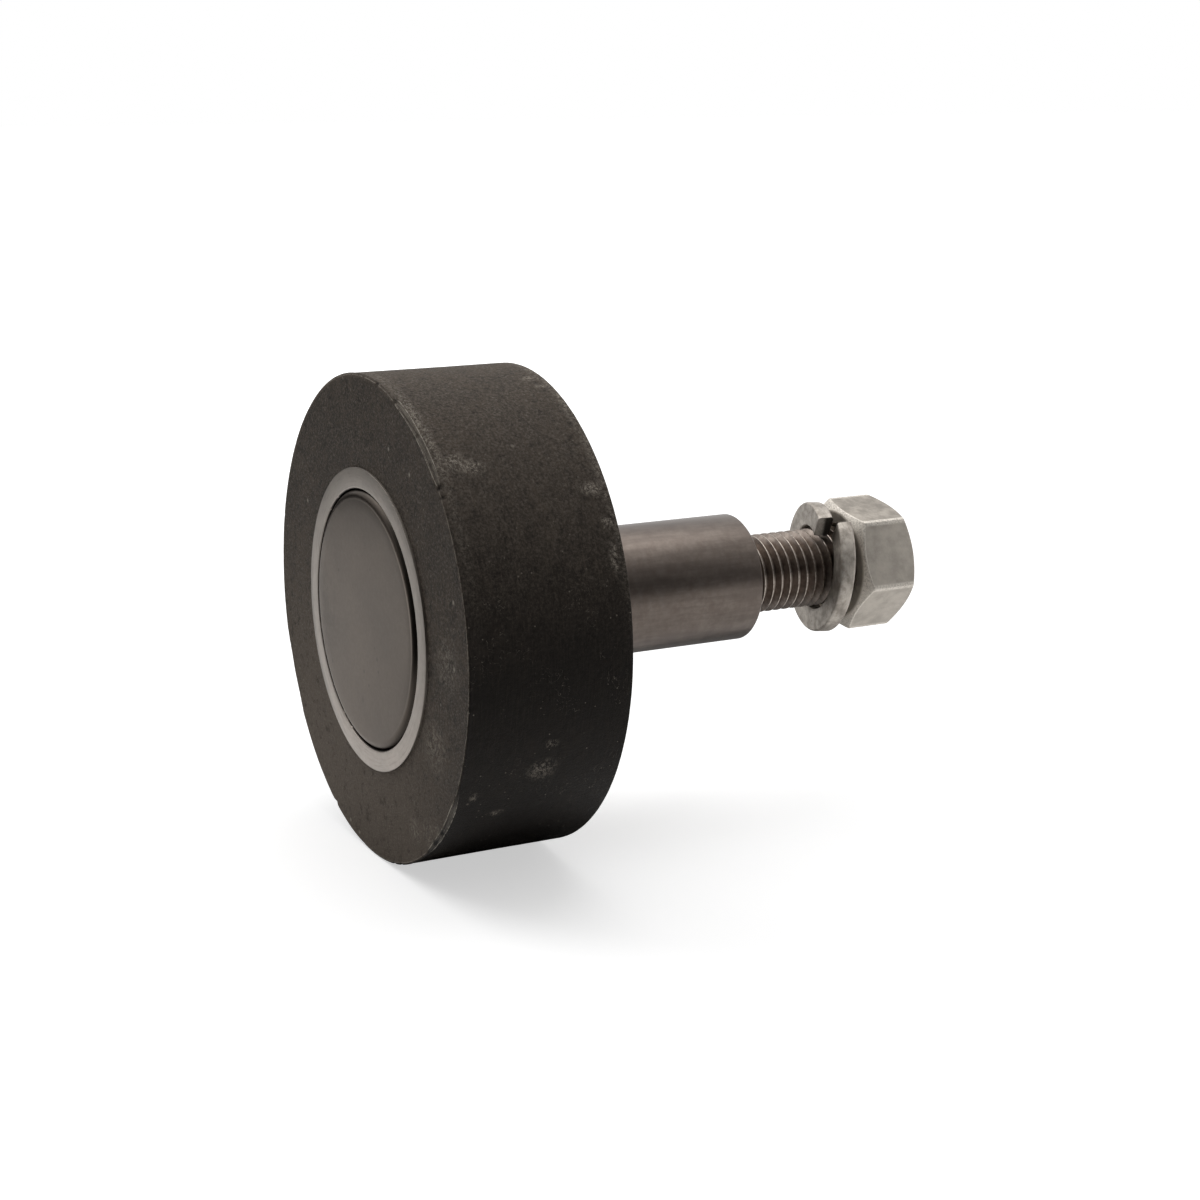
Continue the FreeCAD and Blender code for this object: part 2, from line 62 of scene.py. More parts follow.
# An outline's corner is rounded if it turns enough, and over no more than this share of each side
STRAIGHT = radians(165)
CORNER_SHARE = 0.45
NO_LENGTH = 1e-6


def extent(node):
    """Gives where a turned node starts and ends along the axle, and its radius."""
    low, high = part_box(node)
    radius = max(high.x, high.z, -low.x, -low.z)
    return low.y / MM, high.y / MM, radius / MM


TYRE_FRONT, TYRE_REAR, TYRE_RADIUS = extent("rubber_tyre")
HUB_FRONT, HUB_REAR, HUB_RADIUS = extent("hub_sleeve")
CAP_FRONT, CAP_REAR, BORE_RADIUS = extent("end_cap")
HUB_GROOVE_FRONT, HUB_GROOVE_REAR, _ = extent("hub_circlip")
_, BEARINGS_REAR, _ = extent("rear_bearing_outer_ring")
AXLE_FRONT, STUD_END, COLLAR_RADIUS = extent("stub_axle")
AXLE_GROOVE_FRONT, AXLE_GROOVE_REAR, _ = extent("axle_circlip")
NUT_FRONT, NUT_REAR, _ = extent("hex_nut")

# Tyre
TYRE_COLUMNS = 720
TYRE_BEVEL = 0.45
TYRE_REAR_ROUND = 0.4
FACE_STEP = 1.0
TREAD_STEP = 1.25
EDGE_STEP = 0.25
EDGE_REACH = 1.5
WAVE_DEPTH = 0.06
WAVE_SCALE = 0.06
GRAIN_DEPTH = 0.025
GRAIN_SCALE = 0.55
# The skin is calm within about this distance of the front edge, and where it is bonded to the hub
EDGE_SOFTNESS = 0.35
BONDED_MARGIN = 0.01
# Where the mould's flash was trimmed off the front edge, which left a wider bevel: start and end in
# degrees, and how softly each runs out
TRIM_BEVEL = 1.0
TRIMS = [(19.0, 46.0, 3.0), (122.0, 143.0, 4.0), (236.0, 252.0, 3.0)]
NICK_REACH = 0.9
# A nick counts up to this many times its reach
NICK_TAIL = 3
# Nicks in the front edge, each an angle in degrees, a width and a depth
NICKS = [(9.0, 0.8, 0.35), (19.3, 0.7, 0.45), (33.0, 0.5, 0.2), (48.0, 0.6, 0.5), (50.5, 0.4, 0.3),
         (97.0, 0.6, 0.2), (134.5, 0.7, 0.3), (139.5, 1.0, 0.5), (205.0, 0.8, 0.3)]
SMALL_NICKS = 18
SMALL_NICK_SEED = 11
SMALL_NICK_WIDTHS = (0.3, 0.6)
SMALL_NICK_DEPTHS = (0.05, 0.16)

# Hub and cap
ROUND_COLUMNS = 256
MOUTH_CHAMFER = 0.35
REAR_CHAMFER = 1.0
LIP_RADIUS = COLLAR_RADIUS + 1.0
LIP_SEAT_WIDTH = 5.0
LIP_RELIEF = 1.0
GROOVE_DEPTH = 1.5
CAP_SHEET = 1.2
CAP_ROUND = 2.2
EDGE_BREAK = 0.12

# Axle
JOURNAL_RADIUS = 12.5
JOURNAL_CHAMFER = 1.0
JOURNAL_GROOVE_DEPTH = 0.55
COLLAR_CHAMFER = 0.5
CENTRE_HOLE_RADIUS = 2.5
CENTRE_HOLE_DEPTH = CENTRE_HOLE_RADIUS / tan(radians(30))

# M20 thread: one crest passes CREST_PLACE at CREST_ANGLE
THREAD_RADIUS = 10.0
THREAD_LEAD = 2.5
THREAD_ROOT = 8.466
CREST_PLACE = 6.54
CREST_ANGLE = 88.0
CREST_HALF_WIDTH = THREAD_LEAD / 16
FLANK_SLOPE = tan(radians(60))
RELIEF_END = 2.0
END_CHAMFER = 1.5
THREAD_COLUMNS = 144
# Where the rows of one turn lie between two crests, as shares of the lead
THREAD_ROWS = [0.0, 0.0625, 0.10, 0.18, 0.26, 0.34, 0.417, 0.46,
               0.5, 0.54, 0.583, 0.66, 0.74, 0.82, 0.90, 0.9375]

# Nut and lock washer
NUT_FLAT_RADIUS = 15.0
NUT_FACE_RADIUS = 13.85
NUT_CHAMFER_SLOPE = tan(radians(30))
NUT_CORNER_ROUND = 0.6
NUT_HEADING = 42.0
NUT_COUNTERSINK = 1.2
NUT_FLAT_STEPS = 12
NUT_CORNER_LEANS = (-30, -15, 0, 15, 30)
NUT_THREAD_ROOT = 10.08
NUT_THREAD_CREST = 8.65
NUT_FLANK_PLAY = 0.06
WASHER_INNER_RADIUS = 10.8
WASHER_SECTION = 6.0
WASHER_THICKNESS = 4.0
WASHER_SPRING = 4.6
WASHER_GAP = 4.5
WASHER_HEADING = 30.5
WASHER_CENTRE = 26.35
WASHER_DROP = 0.25
WASHER_TILT = 12.6
WASHER_TILT_HEADING = -73.5
WASHER_STEPS = 150
WASHER_EDGE = 0.8


def around(along, radius, angle):
    """Gives the point at a place on a round piece."""
    return Vector((radius * sin(angle), along, radius * cos(angle)))


def arc(along, radius, size, start, end, steps):
    """Gives the points of an arc about a centre, from start to end in degrees, where 0 points along
    the axle and 90 away from it."""
    turns = [radians(start + (end - start) * step / steps) for step in range(steps + 1)]
    return [(along + size * cos(turn), radius + size * sin(turn)) for turn in turns]


def divided(start, end, step):
    """Gives evenly spaced points from start up to, but without, end."""
    count = max(1, round(dist(start, end) / step))
    return [tuple(a + (b - a) * index / count for a, b in zip(start, end))
            for index in range(count)]


def softened(outline, reach, closed=False, steps=3):
    """Rounds the sharp corners of an outline, each by a short curve."""
    result = []
    count = len(outline)
    for index, corner in enumerate(outline):
        if not closed and index in (0, count - 1):
            result.append(corner)
            continue
        here = Vector(corner)
        before = Vector(outline[index - 1]) - here
        after = Vector(outline[(index + 1) % count]) - here
        if min(before.length, after.length) < NO_LENGTH or before.angle(after) > STRAIGHT:
            result.append(corner)
            continue
        first = here + before.normalized() * min(reach, CORNER_SHARE * before.length)
        last = here + after.normalized() * min(reach, CORNER_SHARE * after.length)
        for step in range(steps + 1):
            share = step / steps
            point = first * (1 - share) ** 2 + here * 2 * share * (1 - share) + last * share ** 2
            result.append(tuple(point))
    return result


def even_angles(columns):
    """Gives the angles of evenly spaced columns."""
    return [TURN * column / columns for column in range(columns)]


def turned(outline, angles, sink=None):
    """Turns an outline into rings of points. Sink gives how deep a place lies below the outline."""
    rings = []
    count = len(outline)
    for index, (along, radius) in enumerate(outline):
        ahead = Vector(outline[(index + 1) % count]) - Vector(outline[index - 1])
        inward = Vector((ahead.y, -ahead.x)).normalized() if ahead.length else Vector((0, 0))
        ring = []
        for angle in angles:
            depth = sink(along, radius, angle) if sink else 0.0
            ring.append(around(along + inward.x * depth, radius + inward.y * depth, angle))
        rings.append(ring)
    return rings


def skin(rings, closed, seams=None):
    """Joins neighbouring rings by faces. Seams gives the ring that each meets after a full turn."""
    columns = len(rings[0])
    seams = seams or list(range(len(rings)))
    points = [point for ring in rings for point in ring]
    pairs = [(index, index + 1) for index in range(len(rings) - 1)]
    if closed:
        pairs.append((len(rings) - 1, 0))
    faces = []
    for low, high in pairs:
        for column in range(columns):
            wraps = column == columns - 1
            after = 0 if wraps else column + 1
            low_after = seams[low] if wraps else low
            high_after = seams[high] if wraps else high
            faces.append((low * columns + column, low_after * columns + after,
                          high_after * columns + after, high * columns + column))
    return points, faces


def make_object(name, data):
    """Makes an object and puts it in the scene."""
    result = bpy.data.objects.new(name, data)
    bpy.context.scene.collection.objects.link(result)
    return result


def make_piece(name, points, faces, crease=CREASE):
    """Makes a mesh object from points in millimetres, smooth up to the crease angle."""
    mesh = bpy.data.meshes.new(name)
    mesh.from_pydata([Vector(point) * MM for point in points], [], faces)
    form = bmesh.new()
    form.from_mesh(mesh)
    bmesh.ops.remove_doubles(form, verts=form.verts, dist=MERGE_DISTANCE)
    bmesh.ops.dissolve_degenerate(form, edges=form.edges, dist=SHORTEST_EDGE)
    bmesh.ops.recalc_face_normals(form, faces=form.faces)
    form.to_mesh(mesh)
    form.free()
    mesh.shade_smooth()
    mesh.set_sharp_from_angle(angle=radians(crease))
    return make_object(name, mesh)


# Tyre
def nick_list():
    """Gives the large nicks of the front edge and small ones spread round it."""
    chance = random.Random(SMALL_NICK_SEED)
    ranges = ((0, 360), SMALL_NICK_WIDTHS, SMALL_NICK_DEPTHS)
    return NICKS + [tuple(chance.uniform(*limits) for limits in ranges) for _ in range(SMALL_NICKS)]


def trim_share(angle):
    """Gives how far the front edge is trimmed at an angle, from 0 to 1."""
    turn = degrees(angle) % 360
    reach = max(min(turn - start + soft, end + soft - turn) / (2 * soft)
                for start, end, soft in TRIMS)
    share = max(0.0, min(1.0, reach))
    return share * share * (3 - 2 * share)


def build_tyre():
    """Makes the moulded ring, with uneven faces and a nicked, partly trimmed front edge."""
    bevel_top = (TYRE_FRONT + TYRE_BEVEL, TYRE_RADIUS)
    bevel_foot = (TYRE_FRONT, TYRE_RADIUS - TYRE_BEVEL)
    edge_end = (bevel_top[0] + EDGE_REACH, TYRE_RADIUS)
    round_start = TYRE_REAR - TYRE_REAR_ROUND
    round_foot = TYRE_RADIUS - TYRE_REAR_ROUND
    face_end = (TYRE_FRONT, bevel_foot[1] - EDGE_REACH)
    outline = divided((TYRE_FRONT, HUB_RADIUS), face_end, FACE_STEP)
    outline += divided(face_end, bevel_foot, EDGE_STEP)
    outline += divided(bevel_foot, bevel_top, EDGE_STEP)
    outline += divided(bevel_top, edge_end, EDGE_STEP)
    outline += divided(edge_end, (round_start, TYRE_RADIUS), TREAD_STEP)
    outline += arc(round_start, round_foot, TYRE_REAR_ROUND, 90, 0, 4)
    outline += divided((TYRE_REAR, round_foot), (TYRE_REAR, HUB_RADIUS), 3 * FACE_STEP)[1:]
    outline.append((TYRE_REAR, HUB_RADIUS))
    nicks = [(radians(angle), width, depth) for angle, width, depth in nick_list()]
    edge_along, edge_radius = TYRE_FRONT + TYRE_BEVEL / 2, TYRE_RADIUS - TYRE_BEVEL / 2

    def sink(along, radius, angle):
        if radius < HUB_RADIUS + BONDED_MARGIN:
            return 0.0
        place = around(along, radius, angle)
        from_edge = dist((along, radius), bevel_top)
        calm = 1 - exp(-(from_edge / EDGE_SOFTNESS) ** 2)
        wave = WAVE_DEPTH * (1 + noise.noise(place * WAVE_SCALE))
        grain = GRAIN_DEPTH * (1 + noise.noise(place * GRAIN_SCALE))
        depth = calm * (wave + grain)
        bevel = TYRE_BEVEL + (TRIM_BEVEL - TYRE_BEVEL) * trim_share(angle)
        off_corner = along - TYRE_FRONT + TYRE_RADIUS - radius
        on_bevel = along > TYRE_FRONT and radius < TYRE_RADIUS
        depth += max(0.0, bevel - off_corner) * (sqrt(0.5) if on_bevel else 1.0)
        off_edge = dist((along, radius), (edge_along, edge_radius))
        if off_edge > NICK_TAIL * NICK_REACH:
            return depth
        for nick_angle, width, nick_depth in nicks:
            apart = (angle - nick_angle + pi) % TURN - pi
            reach = (apart * radius / width) ** 2 + (off_edge / NICK_REACH) ** 2
            if reach < NICK_TAIL ** 2:
                depth += nick_depth * exp(-reach)
        return depth

    points, faces = skin(turned(outline, even_angles(TYRE_COLUMNS), sink), closed=True)
    return make_piece("moulded_tyre", points, faces)


# Hub and cap
def build_hub():
    """Makes the sleeve, with its chamfered mouth, circlip groove and inward lip."""
    seat_radius = BORE_RADIUS - LIP_SEAT_WIDTH
    relief = BEARINGS_REAR + LIP_RELIEF
    groove_radius = BORE_RADIUS + GROOVE_DEPTH
    outline = [
        (HUB_FRONT, BORE_RADIUS + MOUTH_CHAMFER), (HUB_FRONT, HUB_RADIUS),
        (HUB_REAR - REAR_CHAMFER, HUB_RADIUS), (HUB_REAR, HUB_RADIUS - REAR_CHAMFER),
        (HUB_REAR, LIP_RADIUS), (relief, LIP_RADIUS),
        (relief, seat_radius), (BEARINGS_REAR, seat_radius),
        (BEARINGS_REAR, BORE_RADIUS), (HUB_GROOVE_REAR, BORE_RADIUS),
        (HUB_GROOVE_REAR, groove_radius), (HUB_GROOVE_FRONT, groove_radius),
        (HUB_GROOVE_FRONT, BORE_RADIUS), (HUB_FRONT + MOUTH_CHAMFER, BORE_RADIUS),
    ]
    rings = turned(softened(outline, EDGE_BREAK, closed=True), even_angles(ROUND_COLUMNS))
    points, faces = skin(rings, closed=True)
    return make_piece("turned_hub", points, faces)


def build_cap():
    """Makes the pressed cup that closes the hub's mouth."""
    rim_centre = (CAP_FRONT + CAP_ROUND, BORE_RADIUS - CAP_ROUND)
    outline = divided((CAP_FRONT, 0.0), (CAP_FRONT, rim_centre[1]), 3 * FACE_STEP)
    outline += arc(*rim_centre, CAP_ROUND, 180, 90, 10)
    outline += softened([
        (rim_centre[0], BORE_RADIUS), (CAP_REAR, BORE_RADIUS),
        (CAP_REAR, BORE_RADIUS - CAP_SHEET), (rim_centre[0], BORE_RADIUS - CAP_SHEET),
    ], EDGE_BREAK)[1:]
    outline += arc(*rim_centre, CAP_ROUND - CAP_SHEET, 90, 180, 6)[1:]
    outline.append((CAP_FRONT + CAP_SHEET, 0.0))
    points, faces = skin(turned(outline, even_angles(ROUND_COLUMNS)), closed=False)
    return make_piece("pressed_cap", points, faces)


# Thread
def crest_distance(along, angle):
    """Gives how far a place lies from the nearest crest, along the axle."""
    crest = CREST_PLACE + THREAD_LEAD * (angle - radians(CREST_ANGLE)) / TURN
    return abs((along - crest + THREAD_LEAD / 2) % THREAD_LEAD - THREAD_LEAD / 2)


def stud_radius(along, angle):
    """Gives the stud's radius, where the chamfer and the relief cut the crests away."""
    flank = max(0.0, crest_distance(along, angle) - CREST_HALF_WIDTH)
    limit = min(THREAD_ROOT + along - RELIEF_END, THREAD_RADIUS - END_CHAMFER + STUD_END - along)
    return max(THREAD_ROOT, min(THREAD_RADIUS - FLANK_SLOPE * flank, limit))


def nut_thread_radius(along, angle):
    """Gives the radius of the nut's own thread, which stays clear of the stud's."""
    flank = max(0.0, crest_distance(along, angle) - CREST_HALF_WIDTH - NUT_FLANK_PLAY)
    from_face = min(along - NUT_FRONT, NUT_REAR - along)
    mouth = THREAD_RADIUS + NUT_COUNTERSINK - from_face
    return max(NUT_THREAD_CREST, min(NUT_THREAD_ROOT, NUT_THREAD_ROOT - FLANK_SLOPE * flank), mouth)


def screw_rings(angles, start, end, radius_at):
    """Gives rings that follow the thread's lead from start to end, cut off flat at both."""
    lowest = CREST_PLACE - THREAD_LEAD * radians(CREST_ANGLE) / TURN
    first = int((start - lowest) // THREAD_LEAD) - 1
    last = ceil((end - lowest) / THREAD_LEAD)
    shares = [turn + share for turn in range(first, last) for share in THREAD_ROWS] + [last]
    rings = []
    for share in shares:
        ring = []
        for angle in angles:
            along = min(end, max(start, lowest + THREAD_LEAD * (share + angle / TURN)))
            ring.append(around(along, radius_at(along, angle), angle))
        rings.append(ring)
    return rings


def screw_seams(before, screw, after):
    """Gives the seams of rings that hold a screw between plain rings."""
    end = before + screw - 1
    inside = [min(index + len(THREAD_ROWS), end) for index in range(before, end + 1)]
    return list(range(before)) + inside + list(range(end + 1, end + 1 + after))


def build_axle():
    """Makes the axle: journal, collar and threaded stud."""
    groove_radius = JOURNAL_RADIUS - JOURNAL_GROOVE_DEPTH
    front = [
        (AXLE_FRONT + CENTRE_HOLE_DEPTH, 0.0), (AXLE_FRONT, CENTRE_HOLE_RADIUS),
        (AXLE_FRONT, JOURNAL_RADIUS - JOURNAL_CHAMFER),
        (AXLE_FRONT + JOURNAL_CHAMFER, JOURNAL_RADIUS), (AXLE_GROOVE_FRONT, JOURNAL_RADIUS),
        (AXLE_GROOVE_FRONT, groove_radius), (AXLE_GROOVE_REAR, groove_radius),
        (AXLE_GROOVE_REAR, JOURNAL_RADIUS), (BEARINGS_REAR, JOURNAL_RADIUS),
        (BEARINGS_REAR, COLLAR_RADIUS), (-COLLAR_CHAMFER, COLLAR_RADIUS),
        (0.0, COLLAR_RADIUS - COLLAR_CHAMFER), (0.0, THREAD_ROOT),
        (RELIEF_END, THREAD_ROOT),
    ]
    rear = [
        (STUD_END, THREAD_ROOT), (STUD_END, CENTRE_HOLE_RADIUS),
        (STUD_END - CENTRE_HOLE_DEPTH, 0.0),
    ]
    angles = even_angles(THREAD_COLUMNS)
    before = turned(softened(front, EDGE_BREAK), angles)
    screw = screw_rings(angles, RELIEF_END, STUD_END, stud_radius)
    after = turned(rear, angles)
    seams = screw_seams(len(before), len(screw), len(after))
    points, faces = skin(before + screw + after, closed=False, seams=seams)
    return make_piece("threaded_axle", points, faces, THREAD_CREASE)


# Nut
def hexagon():
    """Gives the points of the nut's outline, across and up, with rounded corners."""
    inset = (NUT_FLAT_RADIUS - NUT_CORNER_ROUND) / cos(radians(30))
    corners = []
    for corner in range(6):
        heading = NUT_HEADING + 60 * corner
        middle = Vector((sin(radians(heading)), cos(radians(heading)))) * inset
        for lean in NUT_CORNER_LEANS:
            turn = radians(heading + lean)
            corners.append(middle + Vector((sin(turn), cos(turn))) * NUT_CORNER_ROUND)
    outline = []
    for index, point in enumerate(corners):
        outline.append(point)
        if (index + 1) % len(NUT_CORNER_LEANS) == 0:
            ahead = corners[(index + 1) % len(corners)]
            steps = range(1, NUT_FLAT_STEPS)
            outline += [point.lerp(ahead, step / NUT_FLAT_STEPS) for step in steps]
    return outline


def build_nut():
    """Makes the nut: chamfered hexagon, countersinks and thread."""
    outline = sorted(hexagon(), key=lambda point: atan2(point.x, point.y) % TURN)
    angles = [atan2(point.x, point.y) % TURN for point in outline]
    reaches = [point.length for point in outline]
    mouth_radius = THREAD_RADIUS + NUT_COUNTERSINK
    sides = []
    for reach in reaches:
        fall = max(0.0, reach - NUT_FACE_RADIUS) * NUT_CHAMFER_SLOPE
        sides.append(softened([
            (NUT_REAR, mouth_radius), (NUT_REAR, NUT_FACE_RADIUS),
            (NUT_REAR - fall, reach), (NUT_FRONT + fall, reach),
            (NUT_FRONT, NUT_FACE_RADIUS), (NUT_FRONT, mouth_radius),
        ], 2 * EDGE_BREAK))
    shell = [[around(*side[row], angle) for side, angle in zip(sides, angles)]
             for row in range(len(sides[0]))]
    screw = screw_rings(angles, NUT_FRONT, NUT_REAR, nut_thread_radius)
    seams = screw_seams(0, len(screw), len(shell))
    points, faces = skin(screw + shell, closed=True, seams=seams)
    return make_piece("hexagon_nut", points, faces, THREAD_CREASE)


# Lock washer
def build_washer():
    """Makes the spring washer: just under one left-hand turn, leaning on the stud."""
    half = WASHER_THICKNESS / 2
    outer_radius = WASHER_INNER_RADIUS + WASHER_SECTION
    section = softened([
        (-half, WASHER_INNER_RADIUS), (-half, outer_radius),
        (half, outer_radius), (half, WASHER_INNER_RADIUS),
    ], WASHER_EDGE, closed=True, steps=6)
    sweep = 360 - WASHER_GAP
    lean = radians(WASHER_TILT_HEADING)
    pose = Matrix.Translation((0, WASHER_CENTRE, -WASHER_DROP)) @ Matrix.Rotation(
        radians(WASHER_TILT), 4, Vector((-cos(lean), 0, sin(lean))))
    points, faces = [], []
    size = len(section)
    for step in range(WASHER_STEPS + 1):
        share = step / WASHER_STEPS
        angle = radians(WASHER_HEADING - sweep * share)
        rise = WASHER_SPRING * (share - 0.5)
        points += [pose @ around(along + rise, radius, angle) for along, radius in section]
    for step in range(WASHER_STEPS):
        for index in range(size):
            after = (index + 1) % size
            low, high = step * size, (step + 1) * size
            faces.append((low + index, low + after, high + after, high + index))
    faces.append(tuple(range(size)))
    faces.append(tuple(range(WASHER_STEPS * size, (WASHER_STEPS + 1) * size)))
    return make_piece("spring_washer", points, faces, WASHER_CREASE)


# Materials
def linear(red, green, blue):
    """Turns a colour as seen on a screen, 0 to 255, into the shader's own."""
    shares = [channel / 255 for channel in (red, green, blue)]
    curved = [share / 12.92 if share <= 0.04045 else ((share + 0.055) / 1.055) ** 2.4
              for share in shares]
    return (*curved, 1.0)


class Nodes:
    """Adds nodes to a node tree and links them. A term is an output or a plain number."""

    def __init__(self, tree):
        self.tree = tree

    def add(self, kind, **settings):
        """Adds a node."""
        node = self.tree.nodes.new(kind)
        for key, setting in settings.items():
            setattr(node, key, setting)
        return node

    def join(self, source, socket):
        """Links an output, or sets a plain value."""
        if isinstance(source, bpy.types.NodeSocket):
            self.tree.links.new(source, socket)
        else:
            socket.default_value = source

    def math(self, operation, *terms, clamp=False):
        """Works out one step over terms."""
        node = self.add("ShaderNodeMath", operation=operation, use_clamp=clamp)
        for term, socket in zip(terms, node.inputs):
            self.join(term, socket)
        return node.outputs[0]

    def times(self, first, *others):
        """Multiplies terms, from the left."""
        for other in others:
            first = self.math("MULTIPLY", first, other)
        return first

    def sum(self, term, factor, rest):
        """Gives a term times a factor, plus the rest."""
        return self.math("MULTIPLY_ADD", term, factor, rest)

    def less(self, term, taken):
        """Takes one term from another."""
        return self.math("SUBTRACT", term, taken)

    def most(self, one, other):
        """Gives the greater of two terms."""
        return self.math("MAXIMUM", one, other)

    def between(self, share, low, high):
        """Gives the number at a share of the way from low to high."""
        return self.sum(share, high - low, low)

    def step(self, term, low, high):
        """Rises smoothly from 0 at low to 1 at high."""
        node = self.add("ShaderNodeMapRange", interpolation_type="SMOOTHSTEP")
        self.join(term, node.inputs["Value"])
        self.join(low, node.inputs["From Min"])
        self.join(high, node.inputs["From Max"])
        return node.outputs["Result"]

    def band(self, term, low, high, soft):
        """Gives 1 between low and high, and 0 outside them."""
        risen = self.step(term, low - soft, low + soft)
        return self.times(risen, self.step(term, high + soft, high - soft))


class Finish(Nodes):
    """One node material. Its lengths are millimetres in the piece's own space."""

    def __init__(self, name, metallic=0.0, specular=0.5):
        self.material = bpy.data.materials.new(name)
        self.material.use_nodes = True
        super().__init__(self.material.node_tree)
        self.shader = self.tree.nodes["Principled BSDF"]
        self.join(metallic, self.shader.inputs["Metallic"])
        self.join(specular, self.shader.inputs["Specular IOR Level"])
        place = self.add("ShaderNodeVectorMath", operation="SCALE")
        self.join(self.add("ShaderNodeTexCoord").outputs["Object"], place.inputs[0])
        self.join(1 / MM, place.inputs["Scale"])
        self.place = place.outputs[0]
        split = self.add("ShaderNodeSeparateXYZ")
        self.join(self.place, split.inputs[0])
        self.across, self.along, self.up = split.outputs
        squares = self.math("POWER", self.across, 2.0), self.math("POWER", self.up, 2.0)
        self.radius = self.math("SQRT", self.math("ADD", *squares))
        self.angle = self.math("DEGREES", self.math("ARCTAN2", self.across, self.up))

    def stretched(self, around_scale, along_scale, radius_scale=0.0):
        """Gives a texture place that is stretched round the axle."""
        node = self.add("ShaderNodeCombineXYZ")
        sine = self.math("DIVIDE", self.across, self.radius)
        cosine = self.math("DIVIDE", self.up, self.radius)
        depth = self.times(self.radius, radius_scale)
        self.join(self.times(sine, around_scale), node.inputs[0])
        self.join(self.sum(self.along, along_scale, depth), node.inputs[1])
        self.join(self.times(cosine, around_scale), node.inputs[2])
        return node.outputs[0]

    def noise(self, scale, detail=2.0, place=None, roughness=0.5):
        """Gives noise from 0 to 1 with features of about 1 / scale."""
        node = self.add("ShaderNodeTexNoise")
        self.join(place or self.place, node.inputs["Vector"])
        self.join(scale, node.inputs["Scale"])
        self.join(detail, node.inputs["Detail"])
        self.join(roughness, node.inputs["Roughness"])
        return node.outputs["Fac"]

    def specks(self, spacing, size, share):
        """Gives round specks on a share of the cells of a loose grid."""
        node = self.add("ShaderNodeTexVoronoi")
        self.join(self.place, node.inputs["Vector"])
        self.join(1 / spacing, node.inputs["Scale"])
        split = self.add("ShaderNodeSeparateColor")
        self.join(node.outputs["Color"], split.inputs[0])
        reach = size / spacing
        dot = self.step(node.outputs["Distance"], reach, 0.5 * reach)
        return self.times(dot, self.math("LESS_THAN", split.outputs[0], share))

    def spot(self, angle, along, radius, length, width):
        """Gives a soft spot, by its length along the axle and its width across it."""
        node = self.add("ShaderNodeVectorMath", operation="SUBTRACT")
        self.join(self.place, node.inputs[0])
        self.join(around(along, radius, radians(angle)), node.inputs[1])
        spread = self.add("ShaderNodeVectorMath", operation="MULTIPLY")
        self.join(node.outputs[0], spread.inputs[0])
        self.join((1 / width, 1 / length, 1 / width), spread.inputs[1])
        reach = self.add("ShaderNodeVectorMath", operation="LENGTH")
        self.join(spread.outputs[0], reach.inputs[0])
        return self.step(reach.outputs["Value"], 1.0, 0.2)

    def spots(self, places):
        """Gives several spots at once."""
        total = 0.0
        for place in places:
            total = self.most(self.spot(*place), total)
        return total

    def blend(self, share, low, high):
        """Mixes two colours, each an output or a tone from 0 to 255."""
        node = self.add("ShaderNodeMix", data_type="RGBA")
        self.join(share, node.inputs["Factor"])
        for colour, socket in ((low, node.inputs[6]), (high, node.inputs[7])):
            self.join(linear(*colour) if isinstance(colour, tuple) else colour, socket)
        return node.outputs[2]

    def tint(self, colour, share, tone, strength=1.0):
        """Lays a tone over a colour, by a share times a strength."""
        return self.blend(self.times(share, strength), colour, tone)

    def finish(self, colour, roughness, relief=None, depth=0.02):
        """Sets the shader. Relief is a height from 0 to 1 over a depth."""
        self.join(colour, self.shader.inputs["Base Color"])
        self.join(roughness, self.shader.inputs["Roughness"])
        if relief is not None:
            bump = self.add("ShaderNodeBump")
            self.join(depth * MM, bump.inputs["Distance"])
            self.join(relief, bump.inputs["Height"])
            self.join(bump.outputs[0], self.shader.inputs["Normal"])
        return self.material


# Scuffs on the tread: angle in degrees, place along the axle, length along it and width round it
SCUFFS = [(13.5, -63.5, 3.0, 2.0), (18.0, -62.3, 2.5, 1.5), (43.5, -90.0, 4.5, 3.0),
          (42.0, -93.5, 4.0, 4.0), (51.8, -63.5, 4.5, 2.5), (60.0, -62.0, 2.5, 2.5),
          (115.5, -79.5, 5.0, 4.0), (108.5, -78.5, 2.5, 1.5), (128.0, -88.0, 3.0, 1.5),
          (121.0, -95.0, 1.5, 2.0), (68.0, -62.0, 2.0, 5.0), (200.0, -75.0, 6.0, 4.0),
          (262.0, -88.0, 5.0, 3.0), (318.0, -70.0, 6.0, 5.0)]
# Pale dots on the front face: angle in degrees and radius
FACE_DOTS = [(19.6, 45.6), (34.9, 47.5), (73.5, 52.3), (90.0, 50.0), (-165.0, 55.7), (-171.0, 56.0),
             (-60.0, 44.0)]
FACE_DOT_SIZE = 0.75
# Paler patches on the front face: angle in degrees, radius and size
FACE_SCUFFS = [(141.0, 54.5, 4.5), (136.0, 56.0, 2.5), (149.0, 51.0, 4.5), (118.0, 44.0, 9.0),
               (90.0, 46.0, 9.0)]
# How far a mark on a flat face reaches along the axle
MARK_DEPTH = 1.0
NICK_MARK_DEPTH = 1.5
NICK_MARK_MARGIN = 0.4
# The pale lines beside the front bevel: start and end from its corner, and softness
EDGE_LINE = (-0.04, 0.14, 0.05)
RUBBER_TINT = (1.0, 0.9, 0.8, 1.0)


def trimmed_share(look):
    """Gives 1 where the tyre's front edge was trimmed, and 0 elsewhere."""
    share = 0.0
    for start, end, soft in TRIMS:
        middle, half = (start + end) / 2, (end - start) / 2
        apart = look.math("WRAP", look.less(look.angle, middle), 180.0, -180.0)
        apart = look.math("ABSOLUTE", apart)
        share = look.most(look.step(apart, half + soft, half - soft), share)
    return share


